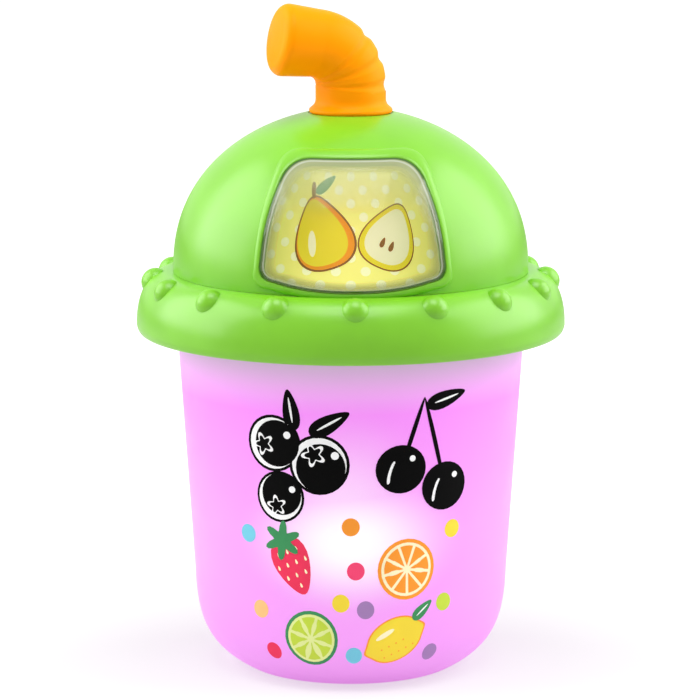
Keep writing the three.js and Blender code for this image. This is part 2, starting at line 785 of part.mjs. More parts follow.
function domeShell() {
  const bezel = domeSolid(bezelHeight).intersect(windowBlock(bezelWidth));
  const outside = domeSolid(0).add(bezel);
  const collar = rod(collarRadius, domeTop - wall - collarDepth, domeTop, 0, 0, 2 * smallSegments);
  const bosses = lidScrews.map(([x, y]) => rod(bossRadius, domeSeat, domeSeat + domeBossHeight,
    x, y));
  const inside = cut(domeSolid(-wall), [collar, ...bosses]);
  const soundHoles = [[0, 0], ...ring(soundHoleCount, soundHoleSpacing)].map(([x, z]) => {
    const hole = new THREE.CylinderGeometry(soundHoleRadius, soundHoleRadius, domeRadius,
      soundHoleSegments);
    return solid(hole.translate(x, domeRadius, domeSeat + soundHoleRise + z));
  });
  return cut(outside, [
    inside,
    windowBlock(0),
    rod(strawStemRadius + clearance, domeSeat, domeTop + overrun, 0, 0, 2 * smallSegments),
    rod(strawFlangeRadius + clearance, strawSeat, domeTop + overrun, 0, 0, 2 * smallSegments),
    ...lidScrews.map(([x, y]) => rod(screwHole, domeSeat - overrun,
      lidFloorBottom + lidScrewLength + clearance, x, y)),
    ...soundHoles,
  ]);
}

function windowLens() {
  const back = wall + clearance + lensThickness;
  const pane = domeSolid(-lensRecess).subtract(domeSolid(-back)).intersect(windowBlock(-clearance));
  const lip = domeSolid(-wall - clearance).subtract(domeSolid(-back)).intersect(windowBlock(lensLip));
  return pane.add(lip);
}

// Straw
function loft(rings) {
  const count = rings[0].length;
  const [first, last] = [rings[0], rings[rings.length - 1]];
  const middle = (points) => points.reduce((sum, point) => sum.add(point), new THREE.Vector3())
    .divideScalar(points.length);
  const points = [...rings.flat(), middle(first), middle(last)];
  const index = [];
  for (let side = 0; side < count; side += 1) {
    const next = (side + 1) % count;
    const end = (rings.length - 1) * count;
    for (let row = 0; row < end; row += count) {
      index.push(row + side, row + next, row + count + next);
      index.push(row + side, row + count + next, row + count + side);
    }
    index.push(points.length - 2, next, side, points.length - 1, end + side, end + next);
  }
  const geometry = new THREE.BufferGeometry().setFromPoints(points);
  return solid(geometry.setIndex(index));
}

// A ring of the elbow or the arm, in the upright plane of the arm, which points along +X. The
// rings of the elbow fan out from one pivot on its inner side.
function strawRing(angle, radius, advance = 0) {
  const along = new THREE.Vector3(Math.sin(angle), 0, Math.cos(angle));
  const outward = new THREE.Vector3(-Math.cos(angle), 0, Math.sin(angle));
  const pivot = new THREE.Vector3(strawRadius + strawElbowGap, 0,
    strawSeat + clearance + strawFlangeThickness + strawUprightHeight);
  return { along, outward, centre: pivot.addScaledVector(outward, radius + strawElbowGap)
    .addScaledVector(along, advance), radius };
}

function ringPoints({ along, outward, centre, radius }) {
  const sideways = new THREE.Vector3().crossVectors(along, outward);
  return Array.from({ length: strawSegments }, (_, i) => {
    const angle = i * fullTurn / strawSegments;
    return centre.clone().addScaledVector(outward, radius * Math.cos(angle))
      .addScaledVector(sideways, radius * Math.sin(angle));
  });
}

function strawBody() {
  const notch = strawRadius - strawRibDepth;
  const flangeBottom = strawSeat + clearance;
  const foot = new THREE.Vector3(0, 0, flangeBottom + strawFlangeThickness / 2);
  const elbow = [{ ...strawRing(0, strawRadius), centre: foot }];
  for (let rib = 1; rib <= strawRibCount; rib += 1) {
    const start = (rib - 1) * strawRibPitch;
    elbow.push(strawRing(start - strawRibPitch / 4, strawRadius));
    elbow.push(strawRing(start, notch));
    elbow.push(strawRing(start + strawRibPitch / 4, strawRadius));
  }
  elbow.push(strawRing(strawBend, strawNeckRadius));
  const flare = [1 / 3, 2 / 3, 1].map((share) => {
    const radius = strawNeckRadius + (strawMouthRadius - strawNeckRadius) * share;
    const armRing = strawRing(strawBend, strawNeckRadius, share * (strawArmLength - strawEndRound));
    return { ...armRing, radius };
  });
  const end = [[1 / 2, 1 / 4], [1, 1]].map(([advance, inset]) => ({
    ...strawRing(strawBend, strawNeckRadius, strawArmLength - strawEndRound * (1 - advance)),
    radius: strawMouthRadius - strawEndRound * inset,
  }));
  const bulge = {
    ...strawRing(strawBend, strawNeckRadius, strawArmLength + strawEndBulge),
    radius: strawMouthRadius / 3,
  };
  const bent = loft([...elbow, ...flare, ...end, bulge].map(ringPoints));
  const flangeTop = flangeBottom + strawFlangeThickness;
  const lower = turned([
    [0, stemBottom], [strawStemRadius, stemBottom], [strawStemRadius, flangeBottom],
    [strawFlangeRadius, flangeBottom], [strawFlangeRadius, flangeTop - strawFlangeRound],
    [strawFlangeRadius - strawFlangeRound, flangeTop], [0, flangeTop],
  ], strawSegments);
  const screwSpace = rod(screwHole, stemBottom - overrun,
    drumTopHeight - drumTopThickness + strawScrewLength + clearance);
  return bent.add(lower).subtract(screwSpace);
}

// Picture drum and its printed band
function pictureDrum() {
  const underTop = drumTopHeight - drumTopThickness;
  const cone = turned([
    [drumBottomRadius - drumWall, drumBottomHeight], [drumBottomRadius, drumBottomHeight],
    [drumTopRadius, drumTopHeight], [0, drumTopHeight], [0, underTop],
    [drumTopRadius - drumWall, underTop],
  ]);
  const hub = turned([
    [hubBore, hubBottom], [hubFlangeRadius, hubBottom],
    [hubFlangeRadius, hubBottom + hubFlangeThickness],
    [hubRadius, hubBottom + hubFlangeThickness],
    [hubRadius, drumTopHeight - clearance], [hubBore, drumTopHeight - clearance],
  ], 2 * smallSegments);
  const screwSpace = rod(screwHole, underTop - overrun, drumTopHeight + overrun);
  return cone.add(hub).subtract(screwSpace);
}

function pictureBand() {
  const slope = (drumTopRadius - drumBottomRadius) / (drumTopHeight - drumBottomHeight);
  const [low, high] = [drumBottomHeight + bandMargin, drumTopHeight - bandMargin];
  const inner = (height) => drumBottomRadius + clearance + (height - drumBottomHeight) * slope;
  return turned([
    [inner(low), low], [inner(low) + bandThickness, low],
    [inner(high) + bandThickness, high], [inner(high), high],
  ]);
}

// A spring brass disc with three fingers that ride on the tracks of the main board
function contactWiper() {
  const disc = turned([
    [hubRadius, wiperBottom], [wiperOuterRadius, wiperBottom],
    [wiperOuterRadius, wiperBottom + wiperThickness], [hubRadius, wiperBottom + wiperThickness],
  ], 2 * smallSegments);
  const reach = (hubRadius + wiperOuterRadius) / 2;
  return cut(disc, ring(3, reach + hubRadius).map(([x, y]) => rod(
    hubRadius, wiperBottom - overrun, wiperBottom + overrun, x, y)));
}

// Lid floor with its electronics
const soundRing = ring(soundHoleCount, floorSoundHoleOffset, quarterTurn / 3);
const boardScrews = [[0, mainBoardScrewOffset], [0, -mainBoardScrewOffset]];

function lidFloor() {
  const disc = rod(lidFloorRadius, lidFloorBottom, lidFloorTop, 0, 0, roundSegments);
  const post = rod(postRadius, lidFloorBottom, drumTopHeight - drumTopThickness - postTopGap);
  const standoffs = boardScrews.map(([x, y]) => rod(bossRadius, lidFloorBottom,
    lidFloorTop + mainBoardStandoff, x, y));
  const [inner, outer] = [speakerRadius + clearance, speakerRadius + clearance + speakerRingWall];
  const holder = turned([
    [inner, lidFloorBottom - speakerRimDepth], [outer, lidFloorBottom - speakerRimDepth],
    [outer, lidFloorTop], [inner, lidFloorTop],
  ], 3 * smallSegments);
  return cut(join([disc, post, ...standoffs, holder]), [
    ...boardScrews.map(([x, y]) => rod(smallScrewHole,
      mainBoardTop - smallScrewLength - clearance, mainBoardTop, x, y)),
    ...lidScrews.map(([x, y]) => rod(screwHole, lidFloorBottom - overrun,
      lidFloorTop + overrun, x, y)),
    ...soundRing.map(([x, y]) => rod(floorSoundHoleRadius, lidFloorBottom - overrun,
      lidFloorTop + overrun, x, y)),
    rod(leadHoleRadius, lidFloorBottom - overrun, lidFloorTop + overrun,
      leadHoleOffset, 0),
  ]);
}

function mainBoard() {
  const board = rod(mainBoardRadius, mainBoardBottom, mainBoardTop, 0, 0, roundSegments);
  const [low, high] = [mainBoardBottom - overrun, mainBoardTop + overrun];
  return cut(board, [
    rod(mainBoardHoleRadius, low, high),
    ...boardScrews.map(([x, y]) => rod(smallScrewHole, low, high, x, y)),
    ...soundRing.map(([x, y]) => rod(floorSoundHoleRadius, low, high, x, y)),
  ]);
}

function speaker() {
  const dish = speakerMagnetRadius - wall;
  const top = lidFloorBottom - clearance;
  return turned([
    [0, top - speakerDepth], [speakerMagnetRadius, top - speakerDepth],
    [speakerMagnetRadius, top - speakerRimDepth], [speakerRadius, top - speakerRimDepth],
    [speakerRadius, top], [speakerRadius - wall, top],
    [dish / 2, top - speakerRimDepth + clearance], [0, top - speakerRimDepth + clearance],
  ], 3 * smallSegments);
}

function lidAssembly() {
  piece('brim', brim(), greenPlastic);
  piece('clamp_ring', clampRing(), greenPlastic);
  piece('lid_floor', lidFloor(), whitePlastic);
  piece('dome_shell', domeShell(), greenPlastic);
  piece('window_lens', windowLens(), clearPlastic);
  cupScrews.forEach(([x, y], i) => {
    piece(`cup_screw_${i + 1}`, caseScrew(cupScrewLength), steel, [x, y, clampRingBottom]);
  });
  lidScrews.forEach(([x, y], i) => {
    piece(`lid_screw_${i + 1}`, caseScrew(lidScrewLength), steel, [x, y, lidFloorBottom]);
  });
  piece('main_board', mainBoard(), boardGreen);
  boardScrews.forEach(([x, y], i) => {
    piece(`main_board_screw_${i + 1}`, boardScrew(), steel, [x, y, mainBoardTop]);
  });
  piece('sound_chip', block(chipSize, chipSize, mainBoardTop + clearance,
    mainBoardTop + clearance + chipHeight, -chipOffset, 0), blackPlastic);
  piece('speaker', speaker(), speakerPaper);
}

function strawAssembly() {
  piece('straw', strawBody(), orangePlastic, [0, 0, 0], 2 * quarterTurn + strawArmTurn);
  piece('straw_screw', caseScrew(strawScrewLength), steel,
    [0, 0, drumTopHeight - drumTopThickness]);
  piece('picture_drum', pictureDrum(), whitePlastic);
  piece('picture_band', pictureBand(), printedPaper);
  piece('contact_wiper', contactWiper(), brass);
}

baseAssembly();
lightAssembly();
lidAssembly();
strawAssembly();

export default group;
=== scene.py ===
# A light-up toy smoothie cup: a glowing cup, a wide green brim, a dome with a picture
# window, and a thick bent straw that turns the picture drum.
import json
import math

import bpy
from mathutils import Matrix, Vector


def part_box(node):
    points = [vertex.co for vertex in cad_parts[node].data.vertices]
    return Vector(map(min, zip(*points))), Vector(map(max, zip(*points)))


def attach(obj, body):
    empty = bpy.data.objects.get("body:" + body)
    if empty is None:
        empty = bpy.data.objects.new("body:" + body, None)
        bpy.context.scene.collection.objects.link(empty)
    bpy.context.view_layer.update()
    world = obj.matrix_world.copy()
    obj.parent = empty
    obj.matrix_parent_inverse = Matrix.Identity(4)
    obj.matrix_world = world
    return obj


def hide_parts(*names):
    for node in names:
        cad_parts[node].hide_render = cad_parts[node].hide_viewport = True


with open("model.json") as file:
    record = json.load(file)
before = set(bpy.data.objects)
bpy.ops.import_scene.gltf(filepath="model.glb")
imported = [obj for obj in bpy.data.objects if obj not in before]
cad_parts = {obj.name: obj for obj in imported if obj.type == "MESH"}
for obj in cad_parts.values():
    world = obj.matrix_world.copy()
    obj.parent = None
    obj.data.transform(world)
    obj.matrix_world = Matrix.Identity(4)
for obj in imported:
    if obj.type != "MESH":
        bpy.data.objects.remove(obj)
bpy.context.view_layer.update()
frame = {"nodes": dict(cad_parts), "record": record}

# Units
mm = 0.001
degree = math.pi / 180
quarter_turn = math.pi / 2
white = (1.0, 1.0, 1.0, 1.0)

# Cup, as in the frame: foot, round corner and side
cup_mouth_radius = 48.9 * mm
cup_corner_radius = 45.9 * mm
cup_corner_height = 28 * mm
cup_foot_radius = 31.4 * mm
cup_opening_radius = 28.9 * mm
cup_bead_reach = 3.3 * mm
cup_bead_thickness = 2 * mm
cup_floor_low = 4.5 * mm
cup_floor_high = 6.7 * mm
cup_edge_round = 0.4 * mm
cup_flare_radius = 50.7 * mm
cup_flare_height = 99.4 * mm
cup_neck_height = 100.4 * mm
corner_in_share = 0.77
corner_low_share = 0.21
corner_upper_share = 0.47
corner_lean = 0.4 * mm
clearance = 0.3 * mm
wall = 2.2 * mm

# Openings in the floor of the cup: battery box, door bosses, base screws and switch
box_opening = (54.1 * mm, 26 * mm)
door_boss_opening_radius = 3.3 * mm
door_boss_offset = 14.2 * mm
base_screw_opening_radius = 1.8 * mm
base_screw_places = (15.5 * mm, 18.5 * mm)
switch_opening = (10.6 * mm, 6 * mm)
switch_offset = 23.2 * mm
opening_sides = 32

# Brim
brim_radius = 62.5 * mm
brim_skirt_radius = 62.1 * mm
brim_widest = 100.8 * mm
brim_shoulder_radius = 61.1 * mm
brim_shoulder_height = 110.3 * mm
brim_top_radius = 56.8 * mm
brim_top_height = 114.6 * mm
brim_swell = 2.2
brim_round_steps = 48
brim_seat_radius = 52.9 * mm
brim_seat_height = 116.2 * mm
bump_count = 16
bump_ring_radius = 56.9 * mm
bump_middle_height = 112.7 * mm
bump_radius = 4.2 * mm
bump_sink = 1 * mm
bump_slant = 46 * degree
bump_turn = 1.3 * degree
bump_columns = 18
bump_segments = 40
skirt_round = 1.3 * mm
ledge_radius = 41 * mm
seam = 0.08 * mm

# Dome and window
dome_radius = 51.76 * mm
dome_rise = 47.1 * mm
dome_rise_power = 2.25
dome_round_power = 1.938
front_share = 0.98
window_sill = 0.9 * mm
window_corner_rise = 3.6 * mm
window_top = 35.9 * mm
window_lower_half = 26.6 * mm
window_upper_half = 18.2 * mm
window_shift = 0.5 * mm
window_side_bow = 1.1 * mm
window_corner = 5 * mm
window_top_corner = 7 * mm
bezel_width = 2.1 * mm
bezel_top_width = 0.6 * mm
bezel_height = 0.9 * mm
bezel_round_share = 0.35
bezel_heel_share = 0.6
bezel_toe_share = 0.3
bezel_top_shares = (0.9, 0.1)
lens_recess = 0.4 * mm
lens_thickness = 1.4 * mm
lens_bulge = 0.5 * mm
sound_hole_radius = 1.2 * mm
sound_hole_rise = 16 * mm
sound_hole_spacing = 5 * mm
sound_hole_count = 6
sound_cloth_radius = 7.4 * mm
sound_cloth_thickness = 0.4 * mm

# Straw
straw_radius = 10.2 * mm
straw_flange_radius = 12.1 * mm
straw_flange_thickness = 3.5 * mm
straw_upright = 4.6 * mm
straw_stem_radius = 8 * mm
straw_neck_radius = 9.8 * mm
straw_mouth_radius = 10.5 * mm
straw_mouth_drop = 0.5 * mm
straw_arm_length = 12.1 * mm
straw_end_round = 3 * mm
straw_flare_edge = 0.9 * mm
straw_end_bulge = 0.6 * mm
straw_elbow_gap = 2.6 * mm
straw_rib_depth = 0.65 * mm
straw_rib_pitch = 20.4 * degree
straw_rib_count = 3
straw_rib_half_share = 0.32
straw_rib_side_power = 0.6
straw_flare_share = 1.2
straw_bend = 80 * degree
straw_turn = 198 * degree

# Printed band on the drum
drum_bottom_radius = 39.4 * mm
drum_top_radius = 26.8 * mm
band_thickness = 0.4 * mm

# How finely shapes are stepped, and how their surfaces are finished
round_steps = 192
corner_steps = 24
outline_corner_steps = 40
outline_side_steps = 60
neck_steps = 6
skirt_steps = 8
window_steps = 14
frame_inner_steps = 6
frame_outer_steps = 10
dome_outer_steps = 90
dome_inner_steps = 70
lens_rings = 20
cloth_sides = 32
cloth_rings = 6
straw_sides = 96
flare_edge_steps = 6
flare_steps = 14
foot_steps = 5
elbow_steps = 80
arm_steps = 10
end_round_steps = 12
end_cap_steps = 6
join_distance = 0.002 * mm
smallest = mm * mm
slope_step = 0.1 * mm
crease_angle = 35 * degree
soft_crease_angle = 50 * degree
frame_crease_angle = 30 * degree

# Places that come from the frame
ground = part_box("cup_shell")[0].z
cup_bead_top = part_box("cup_shell")[1].z
cup_bead_bottom = cup_bead_top - cup_bead_thickness
brim_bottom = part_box("brim")[0].z
dome_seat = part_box("dome_shell")[0].z
drum_low, drum_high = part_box("picture_drum")
band_low, band_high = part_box("picture_band")


# Shaping helpers
def clear_selection():
    if bpy.context.mode != "OBJECT":
        bpy.ops.object.mode_set(mode="OBJECT")
    bpy.ops.object.select_all(action="DESELECT")


def choose(piece):
    clear_selection()
    piece.select_set(True)
    bpy.context.view_layer.objects.active = piece


def added(operator, **settings):
    """Add a shape, camera or lamp with nothing else selected, and give it back."""
    clear_selection()
    operator(**settings)
    return bpy.context.object


def open_to_edit(piece, action="SELECT"):
    choose(piece)
    bpy.ops.object.mode_set(mode="EDIT")
    bpy.ops.mesh.select_all(action=action)


def tidy_mesh(piece, outward=True, distance=join_distance):
    open_to_edit(piece)
    bpy.ops.mesh.remove_doubles(threshold=distance)
    if outward:
        bpy.ops.mesh.normals_make_consistent(inside=False)
    bpy.ops.object.mode_set(mode="OBJECT")


def smooth(piece, angle=crease_angle):
    choose(piece)
    bpy.ops.object.shade_smooth_by_angle(angle=angle)
    clear_selection()


def apply_modifier(piece, kind, **settings):
    choose(piece)
    modifier = piece.modifiers.new(kind.lower(), kind)
    for name, value in settings.items():
        setattr(modifier, name, value)
    bpy.ops.object.modifier_apply(modifier=modifier.name)
    clear_selection()


def cut_with(piece, tool, operation="DIFFERENCE"):
    apply_modifier(piece, "BOOLEAN", operation=operation, object=tool, solver="EXACT")
    bpy.data.objects.remove(tool, do_unlink=True)


def curve_points(controls, count):
    """Evenly stepped points on the Bezier curve with these control points."""
    points = []
    for step in range(count + 1):
        share = step / count
        row = [Vector(point) for point in controls]
        while len(row) > 1:
            row = [a.lerp(b, share) for a, b in zip(row, row[1:])]
        points.append((row[0][0], row[0][1]))
    return points


def spun(name, section, steps=round_steps):
    """A closed cross-section of (radius, height) points, spun once about the upright axis."""
    piece = added(bpy.ops.mesh.primitive_circle_add, vertices=len(section), fill_type="NOTHING")
    piece.name = name
    for vertex, (radius, height) in zip(piece.data.vertices, section):
        vertex.co = (radius, 0, height)
    open_to_edit(piece)
    bpy.ops.mesh.spin(steps=steps, angle=math.tau, center=(0, 0, 0), axis=(0, 0, 1))
    bpy.ops.object.mode_set(mode="OBJECT")
    tidy_mesh(piece)
    return piece


def draped_grid(name, columns, rows, place, close=False):
    """A grid whose corners are moved to place(across, along), with both shares from 0 to 1."""
    piece = added(bpy.ops.mesh.primitive_grid_add, x_subdivisions=columns,
                  y_subdivisions=rows, size=1)
    piece.name = name
    for vertex in piece.data.vertices:
        vertex.co = place(vertex.co.x + 0.5, vertex.co.y + 0.5)
    tidy_mesh(piece, outward=close)
    return piece


def dress(piece, body, slot, material, *nodes):
    """Give a finished piece its material and body, and hide the frame nodes it stands for. The
    slot is not used.
    """
    piece.data.materials.clear()
    piece.data.materials.append(material)
    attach(piece, body)
    if nodes:
        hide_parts(*nodes)
    return piece


# Surfaces that several pieces share
def cup_side_points(inset, top, count):
    """A straight flare up to the brim, then a short neck that the brim hides."""
    side = curve_points([
        (cup_corner_radius - inset, cup_corner_height),
        (cup_flare_radius - inset, cup_flare_height)], count)
    neck = curve_points([
        (cup_flare_radius - inset, cup_flare_height),
        (cup_flare_radius - inset, cup_neck_height),
        (cup_mouth_radius - inset, cup_neck_height)], neck_steps)
    return side + neck[1:] + [(cup_mouth_radius - inset, top)]


def cup_corner_points(inset, foot_radius, foot_height, count):
    run = cup_corner_radius - inset - foot_radius
    drop = cup_corner_height - foot_height
    return curve_points([
        (foot_radius, foot_height),
        (foot_radius + run * corner_in_share, foot_height + drop * corner_low_share),
        (cup_corner_radius - inset - corner_lean, foot_height + drop * corner_upper_share),
        (cup_corner_radius - inset, cup_corner_height)], count)


cup_outline = cup_corner_points(0, cup_foot_radius, ground, outline_corner_steps)
cup_outline += cup_side_points(0, cup_bead_bottom, outline_side_steps)[1:]


def cup_radius(height):
    """Outside radius of the cup at a height, read off its outline."""
    for (low_radius, low), (high_radius, high) in zip(cup_outline, cup_outline[1:]):
        if low <= height <= high:
            share = (height - low) / max(high - low, smallest)
            return low_radius + (high_radius - low_radius) * share
    return cup_mouth_radius


def on_cup(around, height, lift):
    """A point on the cup: distance round from the front, height, and height above the skin."""
    radius = cup_radius(height) + lift
    angle = around / cup_mouth_radius - quarter_turn
    return Vector((radius * math.cos(angle), radius * math.sin(angle), height))


def dome_points(grow, count):
    """The dome's outline from its seat to its top."""
    points = []
    for step in range(count + 1):
        angle = quarter_turn * step / count
        radius = (dome_radius + grow) * math.cos(angle) ** (2 / dome_round_power)
        height = dome_seat + (dome_rise + grow) * math.sin(angle) ** (2 / dome_rise_power)
        points.append((radius, height))
    return points


def dome_radius_at(height):
    share = min(max((height - dome_seat) / dome_rise, 0), 1)
    return dome_radius * (1 - share ** dome_rise_power) ** (1 / dome_round_power)


def dome_height_at(radius):
    share = 1 - (radius / dome_radius) ** dome_round_power
    return dome_seat + dome_rise * share ** (1 / dome_rise_power)


def on_dome(across, height, lift):
    """A point on the front of the dome by its place in the front view, raised along the skin."""
    radius = dome_radius_at(height)
    limit = radius * front_share
    across = max(min(across, limit), -limit)
    depth = math.sqrt(radius * radius - across * across)
    slope = (dome_radius_at(height + slope_step) - radius) / slope_step
    out = Vector((across / radius, -depth / radius, -slope)).normalized()
    return Vector((across, -depth, height)) + out * lift


def window_outline(grow=0, steps=window_steps):
    """The window's outline in the front view, anticlockwise from the middle of the sill."""
    bottom = dome_seat + window_sill - grow
    corner = dome_seat + window_corner_rise - grow
    top = dome_seat + window_top + grow
    low = window_lower_half + grow
    high = window_upper_half + grow
    shoulder = top - window_top_corner
    lean = (low - high) * window_top_corner / (top - corner)
    sill_end = (low - window_corner, corner - clearance)
    side_foot = (low - window_side_bow, corner + window_corner)
    side_middle = ((low + high) / 2 + 2 * window_side_bow, (corner + top) / 2)
    side_top = (high + lean + window_side_bow / 2, shoulder)
    top_end = (high - window_top_corner, top)
    right = curve_points([(0, bottom), (low / 2, bottom), sill_end], steps)
    for curve in ([sill_end, (low, corner), side_foot], [side_foot, side_middle, side_top],
                  [side_top, (high, top), top_end], [top_end, (high / 2, top), (0, top)]):
        right += curve_points(curve, steps)[1:]
    left = [(-across, height) for across, height in right[-2:0:-1]]
    return [(across + window_shift, height) for across, height in right + left]


# Cup
def open_cup_floor(cup):
    """Cut the openings of the battery box, the screws and the switch into the cup's floor."""
    middle = (cup_floor_low + cup_floor_high) / 2
    reach = cup_floor_high - cup_floor_low + 2 * clearance
    for (length, width), away in ((box_opening, 0), (switch_opening, switch_offset)):
        cut_with(cup, added(bpy.ops.mesh.primitive_cube_add, size=1,
                            location=(0, away, middle), scale=(length, width, reach)))
    rods = [(door_boss_opening_radius, 0, side * door_boss_offset) for side in (-1, 1)]
    rods += [(base_screw_opening_radius, across * base_screw_places[0],
              back * base_screw_places[1]) for across in (-1, 1) for back in (-1, 1)]
    for radius, across, away in rods:
        cut_with(cup, added(bpy.ops.mesh.primitive_cylinder_add, vertices=opening_sides,
                            radius=radius, depth=reach, location=(across, away, middle)))


def model_cup():
    inner_foot = cup_foot_radius + 2 * wall
    bead = cup_mouth_radius + cup_bead_reach
    inside = cup_corner_points(wall, inner_foot, cup_floor_high, corner_steps)
    inside += cup_side_points(wall, cup_bead_top, corner_steps)[1:]
    section = [(cup_opening_radius, ground + cup_edge_round),
               (cup_opening_radius + cup_edge_round, ground)]
    section += cup_outline
    section += [(bead - cup_edge_round, cup_bead_bottom), (bead, cup_bead_bottom + cup_edge_round),
                (bead, cup_bead_top - cup_edge_round), (bead - cup_edge_round, cup_bead_top)]
    section += inside[::-1]
    section += [(0, cup_floor_high), (0, cup_floor_low), (cup_opening_radius, cup_floor_low)]
    cup = spun("cup", section)
    open_cup_floor(cup)
    smooth(cup)
    return cup


# Brim with its ring of bumps
def brim_section():
    outside = curve_points([(brim_skirt_radius - skirt_round, brim_bottom),
                            (brim_skirt_radius, brim_bottom),
                            (brim_radius, brim_widest)], skirt_steps)
    reach = brim_radius - brim_seat_radius
    rise = brim_seat_height - brim_widest
    for step in range(1, brim_round_steps + 1):
        angle = quarter_turn * step / brim_round_steps
        outside.append((brim_seat_radius + reach * math.cos(angle) ** (2 / brim_swell),
                        brim_widest + rise * math.sin(angle) ** (2 / brim_swell)))
    inside = [(ledge_radius, brim_seat_height), (ledge_radius, brim_seat_height - wall),
              (brim_seat_radius, brim_seat_height - wall),
              (brim_top_radius, brim_top_height - wall),
              (brim_shoulder_radius - wall, brim_shoulder_height - wall / 2),
              (brim_skirt_radius - wall, brim_widest),
              (brim_skirt_radius - wall, brim_bottom)]
    return outside + inside


def model_bumps():
    """One round bump without its hidden lower half, copied round the brim's shoulder."""
    middle = Vector((0, -bump_ring_radius, bump_middle_height))
    bumps = added(bpy.ops.mesh.primitive_uv_sphere_add, segments=bump_segments,
                  ring_count=bump_segments // 2, radius=bump_radius, location=middle)
    bpy.ops.object.transform_apply()
    open_to_edit(bumps)
    outward = Vector((0, -math.cos(bump_slant), math.sin(bump_slant)))
    bpy.ops.mesh.bisect(plane_co=middle + outward * bump_sink, plane_no=outward,
                        use_fill=True, clear_inner=True)
    bpy.ops.mesh.select_all(action="SELECT")
    bpy.ops.transform.rotate(value=-bump_turn, orient_axis="Z", center_override=(0, 0, 0))
    for step in range(bump_count - 1):
        bpy.ops.mesh.duplicate()
        bpy.ops.transform.rotate(value=math.tau / bump_count, orient_axis="Z",
                                 center_override=(0, 0, 0))
    bpy.ops.object.mode_set(mode="OBJECT")
    tidy_mesh(bumps)
    return bumps


def model_brim():
    brim = spun("brim", brim_section(), steps=bump_count * bump_columns)
    cut_with(brim, model_bumps(), "UNION")
    smooth(brim)
    return brim


# Dome, window frame and pane
straw_seat = dome_height_at(straw_flange_radius + clearance)


def window_cutter(grow):
    """A block with the window's outline that reaches from inside the dome out past its front."""
    outline = window_outline(grow)
    block = added(bpy.ops.mesh.primitive_circle_add, vertices=len(outline), fill_type="NGON")
    for vertex, (across, height) in zip(block.data.vertices, outline):
        vertex.co = (across, -dome_radius / 4, height)
    open_to_edit(block)
    bpy.ops.mesh.extrude_region_move(TRANSFORM_OT_translate={"value": (0, -dome_radius, 0)})
    bpy.ops.object.mode_set(mode="OBJECT")
    tidy_mesh(block)
    return block


def model_dome():
    inner = [point for point in dome_points(-wall, dome_inner_steps) if point[0] > 0]
    outer = dome_points(0, dome_outer_steps)
    collar = straw_flange_radius + clearance
    stem = straw_stem_radius + clearance
    outer = [(dome_radius, brim_seat_height + seam)] + outer[1:]
    outer = [point for point in outer if point[0] > collar]
    inner = [point for point in inner if point[0] > stem + wall]
    section = outer + [(collar, dome_height_at(collar)), (collar, straw_seat - clearance),
                       (stem, straw_seat - clearance), (stem, dome_seat + dome_rise - 2 * wall)]
    dome = spun("dome", section + inner[::-1])
    cut_with(dome, window_cutter(bezel_width / 4))
    holes = [(0, 0)]
    for place in range(sound_hole_count):
        angle = math.tau * place / sound_hole_count
        holes.append((sound_hole_spacing * math.cos(angle), sound_hole_spacing * math.sin(angle)))
    for across, rise in holes:
        place = (across, dome_radius, dome_seat + sound_hole_rise + rise)
        cut_with(dome, added(bpy.ops.mesh.primitive_cylinder_add, vertices=opening_sides,
                             radius=sound_hole_radius, depth=dome_radius, location=place,
                             rotation=(quarter_turn, 0, 0)))
    smooth(dome)
    return dome


def model_sound_cloth():
    """A round of dark cloth on the inside of the dome, behind the sound holes."""
    def place(around, outward):
        angle = math.tau * around
        reach = sound_cloth_radius * outward
        front = on_dome(reach * math.cos(angle),
                        dome_seat + sound_hole_rise + reach * math.sin(angle), -wall)
        return Vector((-front.x, -front.y, front.z))

    cloth = draped_grid("sound_cloth", cloth_sides, cloth_rings, place)
    apply_modifier(cloth, "SOLIDIFY", thickness=sound_cloth_thickness, offset=-1)
    tidy_mesh(cloth)
    smooth(cloth)
    return cloth


def frame_section():
    """The window frame's cross-section as (share of its width, height above the dome)."""
    lip = -wall - clearance
    crown = bezel_height
    over = curve_points([(0, crown * bezel_round_share), (0, crown),
                         (bezel_round_share, crown)], frame_inner_steps)
    outer = curve_points([(bezel_round_share, crown), (1, crown), (1.0, -clearance)],
                         frame_outer_steps)[1:]
    return [(0, lip)] + over + outer + [(bezel_heel_share, lip / 2), (bezel_toe_share, lip)]


def model_window_frame():
    section = frame_section()
    section = section + section[:1]
    inner = window_outline(0)
    count = len(inner)
    rows = len(section) - 1
    outlines = {share: window_outline(bezel_width * share) for share, _ in section}

    def place(around, through):
        step = round(around * count) % count
        share, lift = section[round(through * rows)]
        across, height = outlines[share][step]
        start, spread = bezel_top_shares
        top_share = max(0, (height - dome_seat) / window_top - start) / spread
        height += bezel_top_width * share * min(top_share, 1)
        return on_dome(across, height, lift)

    ring = draped_grid("window_frame", count, rows, place, close=True)
    smooth(ring, soft_crease_angle)
    return ring


def model_lens():
    outline = window_outline(-clearance)
    count = len(outline)
    middle = Vector((window_shift, dome_seat + window_top / 2))

    def place(around, outward):
        across, height = middle.lerp(Vector(outline[round(around * count) % count]), outward)
        bulge = lens_bulge * (1 - outward ** 4)
        return on_dome(across, height, bulge - lens_recess)

    pane = draped_grid("window_pane", count, lens_rings, place)
    apply_modifier(pane, "SOLIDIFY", thickness=lens_thickness, offset=-1)
    tidy_mesh(pane)
    smooth(pane)
    return pane


